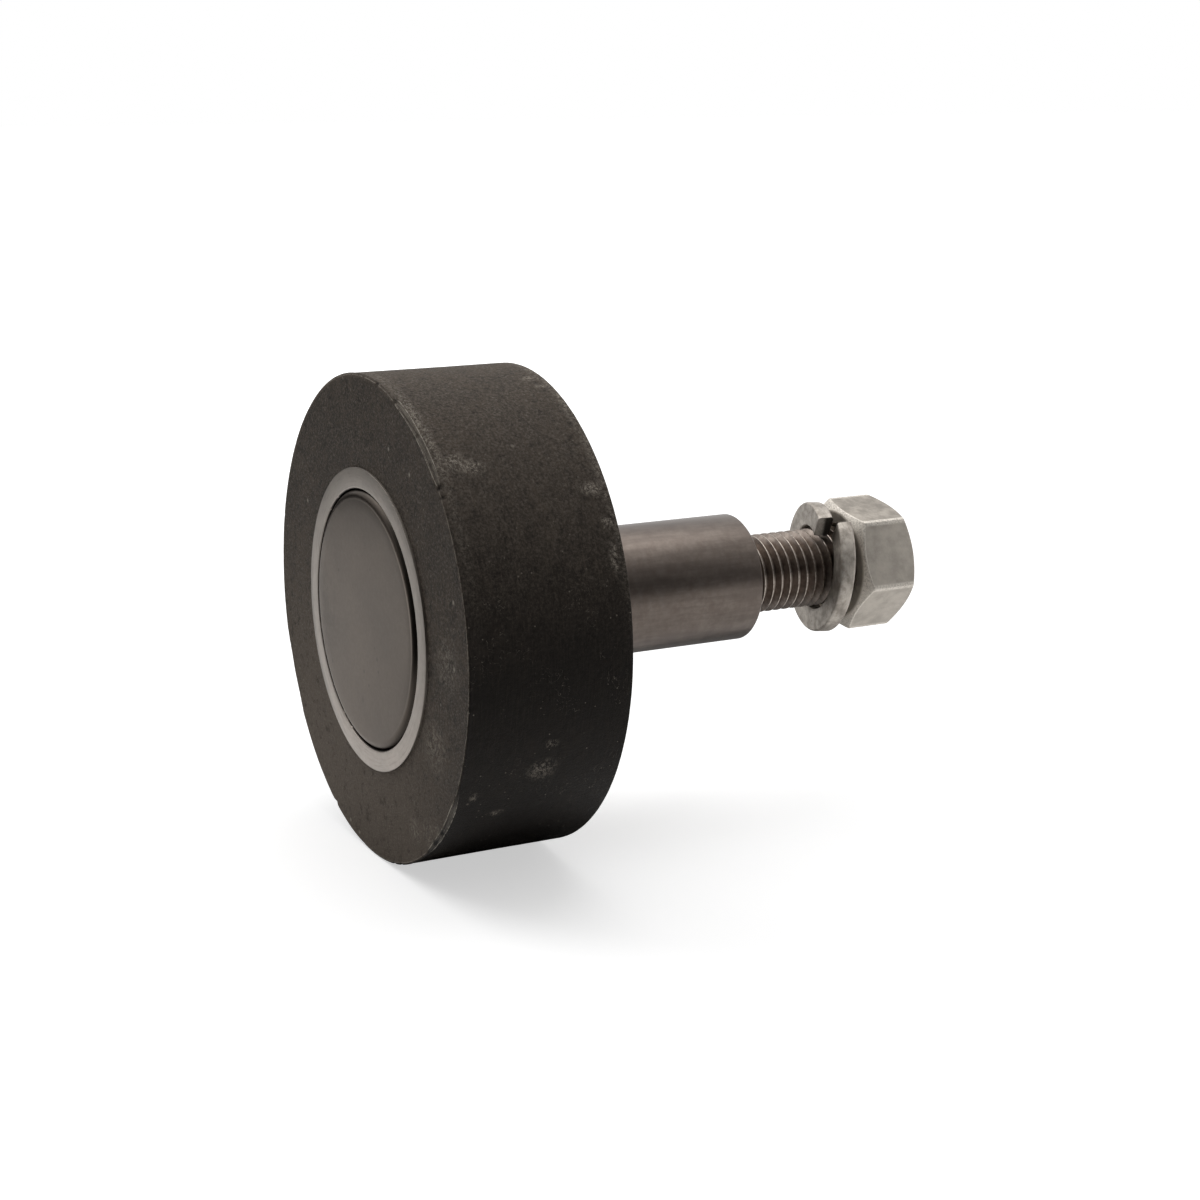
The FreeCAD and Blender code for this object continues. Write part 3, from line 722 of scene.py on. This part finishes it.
def tyre_dust_and_light(look, face, painted_top_light, lines, mottle):
    """Gives how dusty the rubber is, with painted top light, and a painted light on the face's
    bottom left.
    """
    patches = look.noise(0.06, 4.0, roughness=0.6)
    dust_and_painted_light = look.times(look.step(patches, 0.3, 0.7), look.step(mottle, 0.38, 0.66))
    dust_and_painted_light = look.sum(look.step(lines, 0.46, 0.7), 0.4, look.times(dust_and_painted_light, 0.6))
    # Painted shade: away from the tread's top and the face, the rubber is made darker.
    dust_and_painted_light = look.times(dust_and_painted_light, look.between(look.most(painted_top_light, face), 0.22, 1.0))
    dust_and_painted_light = look.sum(face, 0.42, dust_and_painted_light)
    # Painted light: the tread's top is made paler.
    dust_and_painted_light = look.sum(painted_top_light, 0.6, dust_and_painted_light)
    # Painted light on the face's bottom left, which is also made dustier.
    painted_face_light = look.times(look.spot(-160.0, TYRE_FRONT, 55.0, MARK_DEPTH, 80.0), face)
    return look.sum(painted_face_light, 0.8, dust_and_painted_light), painted_face_light


def tyre_hairlines(look, grain):
    """Gives hairline scratches, which follow the level lines of a slow noise in some places."""
    drift = look.noise(0.16, 3.0, roughness=0.6)
    hairline = look.step(look.math("PINGPONG", look.times(drift, 8.0), 0.5), 0.03, 0.01)
    scratched_here = look.step(look.noise(0.09, 3.0), 0.5, 0.62)
    return look.times(hairline, scratched_here, look.step(grain, 0.44, 0.58))


def tyre_wear(look, face, painted_top_light, trimmed):
    """Gives broken, swirling scuffs and dusty strips by the tread's two edges, faded as painted
    shade down its sides.
    """
    scuffs = [(angle, along, TYRE_RADIUS, length, width) for angle, along, length, width in SCUFFS]
    scuffs += [(angle, TYRE_FRONT, radius, MARK_DEPTH, size) for angle, radius, size in FACE_SCUFFS]
    wear_and_sheen = look.times(look.spots(scuffs), look.between(face, 1.0, 0.45))
    strip = look.band(look.along, TYRE_FRONT + 1.2, TYRE_FRONT + 3.4, 0.9)
    strip = look.times(strip, look.between(trimmed, 0.5, 1.0))
    strip = look.most(strip, look.step(look.along, TYRE_REAR - 3.0, TYRE_REAR - 0.8))
    wear_and_sheen = look.most(wear_and_sheen, look.times(strip, look.times(painted_top_light, 0.8)))
    broken = look.step(look.noise(1.1, 6.0, roughness=0.85), 0.46, 0.58)
    swirl = look.math("PINGPONG", look.times(look.noise(0.3, 1.0), 16.0), 0.5)
    wear_and_sheen = look.times(wear_and_sheen, broken, look.between(look.step(swirl, 0.1, 0.4), 0.55, 1.2))
    # Painted shade: the marks fade down the tread's sides.
    return look.times(wear_and_sheen, look.between(look.most(painted_top_light, face), 0.6, 1.0))


def tyre_edge_marks(look, face, trimmed):
    """Gives a thin line on each side of the front bevel, clearest where the edge was trimmed, and
    scratches along the trimmed bevel between the lines."""
    bevel = look.between(trimmed, TYRE_BEVEL, TRIM_BEVEL)
    below_tread = look.less(TYRE_RADIUS, look.radius)
    past_top = look.less(look.less(look.along, TYRE_FRONT), bevel)
    near_tread = look.step(look.radius, TYRE_RADIUS - 0.6, TYRE_RADIUS - 0.3)
    top = look.times(look.band(past_top, *EDGE_LINE), near_tread, trimmed)
    foot = look.times(look.band(look.less(below_tread, bevel), *EDGE_LINE), face)
    foot = look.times(foot, look.between(trimmed, 0.45, 1.0))
    broken = look.step(look.noise(0.5, 6.0, roughness=0.8), 0.38, 0.56)
    lines = look.times(look.most(top, foot), broken)
    on_bevel = look.step(look.math("ADD", past_top, below_tread), 0.3, 0.1)
    drawn = look.noise(1.0, 3.0, look.stretched(8.0, 9.0, 9.0))
    scratches = look.times(on_bevel, look.step(drawn, 0.42, 0.6), look.times(trimmed, 0.4))
    return look.most(lines, scratches)


def rubber():
    """Black moulded rubber, dusty on its faces, with scuffs, specks, wear on its edge, and painted
    top light.
    """
    look = Finish("dusty_rubber", specular=0.12)
    look.join(RUBBER_TINT, look.shader.inputs["Specular Tint"])
    mottle = look.noise(0.45, 6.0, roughness=0.78)
    lines = look.noise(1.0, 3.0, look.stretched(9.0, 3.2, 3.2), 0.6)
    grain = look.noise(1.5, 4.0, roughness=0.85)
    face = look.step(look.along, TYRE_FRONT + 0.35, TYRE_FRONT + 0.12)
    on_tread = look.step(look.radius, TYRE_RADIUS - 1.4, TYRE_RADIUS - 0.6)
    # Painted light: a mask for the tread's top, where it is made paler and its marks show.
    painted_top_light = look.times(look.step(look.up, -6.0, 54.0), on_tread)
    dust_and_painted_light, painted_face_light = tyre_dust_and_light(look, face, painted_top_light, lines, mottle)
    colour = look.blend(dust_and_painted_light, (13, 11, 10), (79, 71, 63))
    # Painted light on the face's bottom left.
    colour = look.tint(colour, painted_face_light, (108, 99, 90), 0.65)
    # Pale grain, made stronger on the tread's top as painted light.
    pale = look.times(look.step(grain, 0.4, 0.74), look.between(painted_top_light, 0.02, 0.9))
    pale_face = look.times(look.step(grain, 0.46, 0.66), look.times(face, 0.6))
    colour = look.tint(colour, look.most(pale, pale_face), (122, 113, 104))
    dark = look.times(look.step(mottle, 0.48, 0.34), 0.5)
    colour = look.tint(colour, dark, (17, 14, 12))
    specks = look.most(look.specks(1.5, 0.24, 0.2), look.specks(6.0, 0.6, 0.18))
    colour = look.tint(colour, specks, (136, 128, 118), 0.6)
    colour = look.tint(colour, tyre_hairlines(look, grain), (150, 142, 131), 0.45)
    trimmed = trimmed_share(look)
    wear_and_sheen = tyre_wear(look, face, painted_top_light, trimmed)
    colour = look.tint(colour, wear_and_sheen, (170, 161, 149), 0.9)
    dots = [(angle, TYRE_FRONT, radius, MARK_DEPTH, FACE_DOT_SIZE) for angle, radius in FACE_DOTS]
    colour = look.tint(colour, look.spots(dots), (180, 172, 160), 0.5)
    colour = look.tint(colour, tyre_edge_marks(look, face, trimmed), (184, 176, 164))
    # The nicks are painted dark as shade in them, and a little beyond their own width.
    nick_shade = [(angle, TYRE_FRONT, TYRE_RADIUS, NICK_MARK_DEPTH, width + NICK_MARK_MARGIN)
              for angle, width, _ in NICKS]
    colour = look.tint(colour, look.spots(nick_shade), (9, 8, 7), 0.85)
    roughness = look.between(look.math("ADD", dust_and_painted_light, wear_and_sheen, clamp=True), 0.5, 0.78)
    relief = look.sum(lines, 0.5, look.sum(mottle, 1.6, grain))
    return look.finish(colour, roughness, relief, 0.16)


def machined_steel():
    """Faced steel with fine rings, stained here and there, with painted light low down and painted
    shade at its edges.
    """
    look = Finish("faced_steel", metallic=1.0)
    rings = look.noise(1.0, 4.0, look.stretched(2.5, 5.0, 5.0), 0.7)
    arcs = look.noise(1.0, 4.0, look.stretched(5.0, 1.6, 1.6), 0.65)
    stain = look.noise(0.16, 5.0, roughness=0.65)
    stain_and_painted_low_light = look.times(look.step(stain, 0.35, 0.68), 0.5)
    # Painted light: the steel is made paler towards the bottom.
    stain_and_painted_low_light = look.sum(look.step(look.up, 8.0, -34.0), 0.25, stain_and_painted_low_light)
    colour = look.blend(stain_and_painted_low_light, (158, 151, 143), (170, 160, 152))
    colour = look.tint(colour, look.step(arcs, 0.45, 0.75), (112, 105, 98), 0.4)
    colour = look.tint(colour, look.step(rings, 0.55, 0.8), (206, 198, 188), 0.4)
    # The rim is darker on the left, and its broken edge is painted dark all round, as shade over
    # its highlight.
    near_rim = look.step(look.radius, HUB_RADIUS - 2.4, HUB_RADIUS)
    dark_rim_and_edge_shade = look.times(look.spot(-110.0, HUB_FRONT, HUB_RADIUS, MARK_DEPTH, 34.0), near_rim)
    dark_rim_and_edge_shade = look.most(dark_rim_and_edge_shade, look.step(look.radius, HUB_RADIUS - 0.25, HUB_RADIUS - 0.1))
    colour = look.tint(colour, dark_rim_and_edge_shade, (84, 78, 72), 0.6)
    # Dirt and painted shade darken the inside of the mouth.
    in_bore = look.step(look.radius, BORE_RADIUS + 0.3, BORE_RADIUS + 0.1)
    near_front = look.step(look.along, HUB_FRONT + 6.0, HUB_FRONT + 4.0)
    mouth_dirt_and_shade = look.times(in_bore, near_front, look.step(arcs, 0.66, 0.56))
    colour = look.tint(colour, mouth_dirt_and_shade, (44, 39, 35))
    roughness = look.between(look.noise(0.8, 4.0), 0.36, 0.56)
    return look.finish(colour, roughness, rings, 0.015)


# Dirt on the cap: angle in degrees, radius and size
CAP_DIRT = [(134.0, 11.0, 0.8), (141.0, 13.5, 0.6), (128.0, 8.5, 0.5), (-175.0, 20.0, 0.9),
            (-125.0, 26.0, 0.8), (171.0, 15.5, 0.6), (-178.0, 12.5, 0.7), (20.0, 14.0, 0.5),
            (-60.0, 18.0, 0.6)]
CAP_TINT = (0.92, 0.885, 0.85, 1.0)


def cap_sheet():
    """Dark, slightly greasy pressed sheet with a few specks, and dirt and painted shade in the
    groove round it.
    """
    look = Finish("dark_sheet", metallic=1.0)
    look.join(CAP_TINT, look.shader.inputs["Specular Tint"])
    cloud = look.noise(0.05, 3.0, roughness=0.55)
    fine = look.noise(1.2, 4.0, roughness=0.6)
    colour = look.blend(look.step(cloud, 0.35, 0.65), (62, 56, 51), (70, 63, 57))
    colour = look.tint(colour, look.step(fine, 0.5, 0.8), (78, 70, 63), 0.2)
    shaded = look.spot(-96.0, CAP_FRONT, 28.0, MARK_DEPTH, 16.0)
    shaded = look.times(shaded, look.step(look.noise(0.3, 4.0), 0.2, 0.6))
    colour = look.tint(colour, shaded, (40, 36, 33), 0.6)
    dirt = [(angle, CAP_FRONT, radius, MARK_DEPTH, size) for angle, radius, size in CAP_DIRT]
    dirt = look.most(look.spots(dirt), look.specks(5.0, 0.45, 0.1))
    colour = look.tint(colour, dirt, (36, 32, 29), 0.75)
    # Dirt and painted shade in the groove round the cap.
    groove = look.step(look.along, CAP_FRONT + 0.1, CAP_FRONT + 0.5)
    colour = look.tint(colour, look.times(groove, look.between(fine, 0.7, 1.0)), (46, 42, 38))
    # The edge of the face has a painted highlight, most at the top and on the right.
    wear_and_sheen = look.band(look.radius, BORE_RADIUS - 2.5, BORE_RADIUS - 1.7, 0.25)
    wear_and_sheen = look.times(wear_and_sheen, look.spot(55.0, CAP_FRONT, 29.0, MARK_DEPTH, 44.0))
    colour = look.tint(colour, wear_and_sheen, (128, 119, 110), 0.7)
    roughness = look.between(fine, 0.26, 0.4)
    return look.finish(colour, roughness, fine, 0.006)


def turned_steel():
    """Turned steel: a smooth collar, and a thread with bright crests and dark, oily flanks."""
    look = Finish("turned_steel", metallic=1.0)
    marks = look.noise(1.0, 4.0, look.stretched(3.0, 6.0, 2.0), 0.7)
    mottle = look.noise(0.35, 5.0, roughness=0.65)
    streaks = look.noise(1.0, 4.0, look.stretched(10.0, 0.06), 0.6)
    stain = look.noise(0.09, 3.0)
    colour = look.blend(look.step(mottle, 0.3, 0.75), (97, 88, 82), (114, 105, 98))
    colour = look.tint(colour, look.step(streaks, 0.4, 0.7), (86, 78, 73), 0.5)
    colour = look.tint(colour, look.step(stain, 0.45, 0.75), (96, 87, 82), 0.4)
    on_stud = look.band(look.along, 0.5, STUD_END - 0.25, 0.1)
    turn = look.math("DIVIDE", look.less(look.angle, CREST_ANGLE), 360.0)
    phase = look.less(look.math("DIVIDE", look.less(look.along, CREST_PLACE), THREAD_LEAD), turn)
    from_crest = look.times(look.math("PINGPONG", phase, 0.5), THREAD_LEAD)
    # The crests are bright with wear, and painted glints break up along them.
    crest = look.times(look.step(from_crest, 0.11, 0.04), on_stud)
    crest = look.times(crest, look.step(look.noise(1.5, 4.0), 0.34, 0.58))
    oil = look.step(look.noise(0.7, 4.0), 0.3, 0.7)
    flank = look.blend(oil, (114, 104, 97), (138, 128, 120))
    colour = look.blend(on_stud, colour, flank)
    colour = look.tint(colour, crest, (190, 181, 170))
    roughness = look.between(mottle, 0.3, 0.42)
    return look.finish(colour, roughness, marks, 0.006)


def zinc_nut():
    """Satin zinc plate, blotched, paler low down as painted light, and painted bright at its edges
    as highlight and wear.
    """
    look = Finish("zinc_nut", metallic=1.0)
    blotch = look.noise(0.22, 5.0, roughness=0.65)
    fine = look.noise(2.2, 4.0, roughness=0.65)
    colour = look.blend(look.step(blotch, 0.32, 0.68), (141, 135, 127), (174, 167, 158))
    # Painted light: the faces low down are made paler.
    painted_low_light = look.step(look.up, 14.5, 9.5)
    colour = look.tint(colour, painted_low_light, (224, 217, 207), 0.28)
    # The chamfer's edge and the corners are painted bright, as highlight and wear.
    past_face = look.less(look.radius, NUT_FACE_RADIUS)
    edge = look.sum(past_face, NUT_CHAMFER_SLOPE, NUT_FRONT)
    bright = look.band(look.less(look.along, edge), -0.12, 0.3, 0.12)
    bright = look.times(bright, look.step(past_face, 0.2, 0.5))
    bright = look.most(bright, look.step(look.radius, 16.7, 17.0))
    bright = look.times(bright, look.step(fine, 0.3, 0.6))
    colour = look.tint(colour, bright, (224, 218, 209), 0.9)
    roughness = look.between(fine, 0.55, 0.72)
    return look.finish(colour, roughness, fine, 0.015)


def zinc_washer():
    """Satin zinc plate, drawn round the coil, dark where the coil was cut, as bare cut ends and
    painted shade.
    """
    look = Finish("zinc_washer", metallic=1.0)
    blotch = look.noise(0.3, 5.0, roughness=0.65)
    drawn = look.noise(1.0, 4.0, look.stretched(6.0, 1.5, 1.5), 0.65)
    colour = look.blend(look.step(blotch, 0.32, 0.68), (140, 133, 125), (190, 183, 174))
    colour = look.tint(colour, look.step(drawn, 0.5, 0.75), (126, 120, 113), 0.4)
    # Painted shade over the bare ends where the coil was cut.
    cut = look.band(look.angle, WASHER_HEADING - 1.8, WASHER_HEADING + WASHER_GAP + 1.8, 0.5)
    colour = look.tint(colour, cut, (60, 56, 51))
    roughness = look.between(drawn, 0.5, 0.66)
    return look.finish(colour, roughness, drawn, 0.02)


def spring_steel():
    """Blackened spring steel with a sheen from wear."""
    look = Finish("spring_steel", metallic=1.0)
    wear = look.noise(0.8, 4.0)
    colour = look.blend(look.step(wear, 0.4, 0.75), (52, 52, 54), (88, 87, 86))
    return look.finish(colour, look.between(wear, 0.35, 0.55), wear, 0.006)


def bearing_steel():
    """Ground and polished bearing steel."""
    look = Finish("bearing_steel", metallic=1.0)
    marks = look.noise(1.0, 3.0, look.stretched(2.0, 8.0, 8.0), 0.6)
    colour = look.blend(look.step(marks, 0.3, 0.8), (176, 175, 172), (198, 197, 194))
    return look.finish(colour, look.between(marks, 0.14, 0.26), marks, 0.002)


def seal_rubber():
    """Smooth black seal rubber with a fine grain."""
    look = Finish("seal_rubber", specular=0.4)
    grain = look.noise(2.5, 3.0)
    colour = look.blend(look.step(grain, 0.3, 0.75), (30, 30, 31), (44, 43, 43))
    return look.finish(colour, look.between(grain, 0.42, 0.6), grain, 0.01)


def cage_polyamide():
    """Moulded polyamide, a little uneven in tone."""
    look = Finish("cage_polyamide", specular=0.45)
    cloud = look.noise(0.5, 3.0)
    colour = look.blend(look.step(cloud, 0.3, 0.75), (206, 196, 168), (224, 216, 192))
    return look.finish(colour, look.between(cloud, 0.4, 0.55), look.noise(3.0, 2.0), 0.01)


# The pieces: builder, material, body, CAD node and the record's slot
PIECES = [
    (build_tyre, rubber(), "roller", "rubber_tyre", "rubber"),
    (build_hub, machined_steel(), "roller", "hub_sleeve", "machined_steel"),
    (build_cap, cap_sheet(), "roller", "end_cap", "cap_sheet"),
    (build_axle, turned_steel(), "axle", "stub_axle", "turned_steel"),
    (build_washer, zinc_washer(), "washer", "lock_washer", "zinc_steel"),
    (build_nut, zinc_nut(), "nut", "hex_nut", "zinc_steel"),
]
for build, finish, body, node, slot in PIECES:
    piece = build()
    piece.data.materials.append(finish)
    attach(piece, body)
    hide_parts(node)

# The bearings and circlips keep their own shapes.
replaced = {node for _, _, _, node, _ in PIECES}
inner_finishes = {
    "spring_steel": spring_steel(),
    "bearing_steel": bearing_steel(),
    "seal_rubber": seal_rubber(),
    "cage_polyamide": cage_polyamide(),
}
for part in frame["record"]["subparts"]:
    if part["node"] not in replaced:
        mesh = frame["nodes"][part["node"]].data
        mesh.materials.clear()
        mesh.materials.append(inner_finishes[part["material_slot"]])

# Stage, in metres. Levels are above the floor.
FLOOR_REACH = 6.0
FLOOR_LEVEL = -TYRE_RADIUS * MM
FLOOR_COLOUR = (0.8, 0.8, 0.8, 1.0)
# How the floor's glow grows with the distance from the middle
FLOOR_GLOW_SPREAD = (0.25, 1.2)
FLOOR_NEAR_GLOW = 0.55
FLOOR_FAR_GLOW = 1.0
SHADE_STEPS = 48
MIDDLE = (0.0, 0.0)
# Dark screens out of view, like the dark half of a studio, which give the metal its dark bands:
# name, first and last heading in degrees, middle, profile as reach and level, and lightness
WALL_SHADE = ("dark_wall", (-115, 48), MIDDLE, [(0.9, 0.0), (0.9, 2.1)], 0.15)
# The wall grows clear between these heights
WALL_FADE = (0.1, 2.0)
# Only mirror rays see these
MIRRORED_SHADES = [
    ("dark_floor", (-125, 12), MIDDLE, [(0.2, 0.002), (0.9, 0.002)], 0.02),
    # Painted shadow under the roller, seen only in reflections.
    ("roller_shade", (0, 360), (0.0, -0.07), [(0.002, 0.001), (0.04, 0.001)], 0.2),
    # Painted shadow under and behind the collar, seen only in reflections.
    ("collar_shade", (0, 360), (-0.05, 0.02), [(0.002, 0.0012), (0.05, 0.0012)], 0.3),
    ("low_screen", (180, 240), MIDDLE, [(0.5, 0.0), (0.5, 0.15)], 0.06),
]
# Soft square lamps: name, place, size and power in watts
LAMPS = [
    ("key_lamp", (-0.85, -0.62, 0.95), 0.8, 6.0),
    ("top_lamp", (-0.25, 0.25, 1.4), 1.2, 7.5),
]
LAMP_TARGET = Vector((0, -0.03, 0))
WORLD_GLOW = 0.45


def emptied(owner):
    """Gives the emptied node tree of a new material or world."""
    owner.use_nodes = True
    nodes = Nodes(owner.node_tree)
    nodes.tree.nodes.clear()
    return nodes


def white_rays(nodes):
    """Gives 1 for the rays that should see white surroundings: camera, mirror and glass rays."""
    rays = nodes.add("ShaderNodeLightPath").outputs
    seen = nodes.most(rays["Is Camera Ray"], rays["Is Glossy Ray"])
    return nodes.most(seen, rays["Is Transmission Ray"])


def diffuse(nodes, colour):
    """Gives a plain diffuse surface."""
    surface = nodes.add("ShaderNodeBsdfDiffuse")
    nodes.join(colour, surface.inputs["Color"])
    return surface.outputs[0]


def build_floor():
    """Makes the pale floor. It shows white to the camera but keeps the roller's shadow."""
    sides = [(-1, -1), (1, -1), (1, 1), (-1, 1)]
    corners = [(x * FLOOR_REACH, y * FLOOR_REACH, FLOOR_LEVEL) for x, y in sides]
    mesh = bpy.data.meshes.new("floor")
    mesh.from_pydata(corners, [], [(0, 1, 2, 3)])
    floor = make_object("floor", mesh)
    material = bpy.data.materials.new("pale_floor")
    nodes = emptied(material)
    distance = nodes.add("ShaderNodeVectorMath", operation="LENGTH")
    nodes.join(nodes.add("ShaderNodeTexCoord").outputs["Object"], distance.inputs[0])
    spread = nodes.step(distance.outputs["Value"], *FLOOR_GLOW_SPREAD)
    spread = nodes.between(spread, FLOOR_NEAR_GLOW, FLOOR_FAR_GLOW)
    strength = nodes.times(spread, white_rays(nodes))
    glow = nodes.add("ShaderNodeEmission")
    nodes.join(strength, glow.inputs["Strength"])
    total = nodes.add("ShaderNodeAddShader")
    nodes.join(diffuse(nodes, FLOOR_COLOUR), total.inputs[0])
    nodes.join(glow.outputs[0], total.inputs[1])
    nodes.join(total.outputs[0], nodes.add("ShaderNodeOutputMaterial").inputs["Surface"])
    mesh.materials.append(material)


def build_shade(name, headings, middle, profile, shade, fade=None):
    """Sweeps a dark screen round a middle. Without a fade only mirror rays see it."""
    first, last = headings
    size = len(profile)
    points, faces = [], []
    for step in range(SHADE_STEPS + 1):
        turn = radians(first + (last - first) * step / SHADE_STEPS)
        for reach, level in profile:
            across, along = middle[0] + reach * cos(turn), middle[1] + reach * sin(turn)
            points.append((across, along, FLOOR_LEVEL + level))
    for low in range(SHADE_STEPS * size):
        if (low + 1) % size:
            faces.append((low, low + size, low + size + 1, low + 1))
    mesh = bpy.data.meshes.new(name)
    mesh.from_pydata(points, [], faces)
    screen = make_object(name, mesh)
    material = bpy.data.materials.new(name)
    nodes = emptied(material)
    surface = diffuse(nodes, (shade, shade, shade, 1.0))
    if fade:
        split = nodes.add("ShaderNodeSeparateXYZ")
        nodes.join(nodes.add("ShaderNodeTexCoord").outputs["Object"], split.inputs[0])
        mix = nodes.add("ShaderNodeMixShader")
        nodes.join(nodes.step(split.outputs[2], *fade), mix.inputs[0])
        nodes.join(surface, mix.inputs[1])
        nodes.join(nodes.add("ShaderNodeBsdfTransparent").outputs[0], mix.inputs[2])
        surface = mix.outputs[0]
    nodes.join(surface, nodes.add("ShaderNodeOutputMaterial").inputs["Surface"])
    mesh.materials.append(material)
    screen.visible_camera = False
    if not fade:
        screen.visible_diffuse = False
        screen.visible_shadow = False


def build_lamp(name, place, size, power):
    """Hangs a soft square lamp that faces the roller."""
    lamp = bpy.data.lights.new(name, "AREA")
    lamp.size = size
    lamp.energy = power
    lamp_object = make_object(name, lamp)
    lamp_object.location = place
    lamp_object.rotation_mode = "QUATERNION"
    lamp_object.rotation_quaternion = (LAMP_TARGET - Vector(place)).to_track_quat("-Z", "Y")


def build_world(strength):
    """Surrounds the scene with soft white light, and with plain white for the camera."""
    world = bpy.data.worlds.new("studio")
    nodes = emptied(world)
    background = nodes.add("ShaderNodeBackground")
    nodes.join(nodes.between(white_rays(nodes), strength, 1.0), background.inputs["Strength"])
    nodes.join((1.0, 1.0, 1.0, 1.0), background.inputs["Color"])
    nodes.join(background.outputs[0], nodes.add("ShaderNodeOutputWorld").inputs["Surface"])
    bpy.context.scene.world = world


build_floor()
build_shade(*WALL_SHADE, fade=WALL_FADE)
for shade in MIRRORED_SHADES:
    build_shade(*shade)
for lamp in LAMPS:
    build_lamp(*lamp)
build_world(WORLD_GLOW)

# Camera, as fitted to the photograph
CAMERA_AZIMUTH = radians(62.42)
CAMERA_ELEVATION = radians(13.49)
CAMERA_SENSOR = 36.0
CAMERA_LENS = 67.585
CAMERA_PLACE = Vector((480.774, -288.882, 128.077)) * MM
CAMERA_CLIP = (0.01, 20.0)

camera_data = bpy.data.cameras.new("camera")
camera_data.sensor_width = CAMERA_SENSOR
camera_data.lens = CAMERA_LENS
camera_data.clip_start, camera_data.clip_end = CAMERA_CLIP
camera = make_object("camera", camera_data)
camera.location = CAMERA_PLACE
camera.rotation_mode = "QUATERNION"
aim = Vector((-sin(CAMERA_AZIMUTH) * cos(CAMERA_ELEVATION),
              cos(CAMERA_AZIMUTH) * cos(CAMERA_ELEVATION), -sin(CAMERA_ELEVATION)))
camera.rotation_quaternion = aim.to_track_quat("-Z", "Y")
bpy.context.scene.camera = camera
bpy.context.scene.view_settings.view_transform = "Standard"
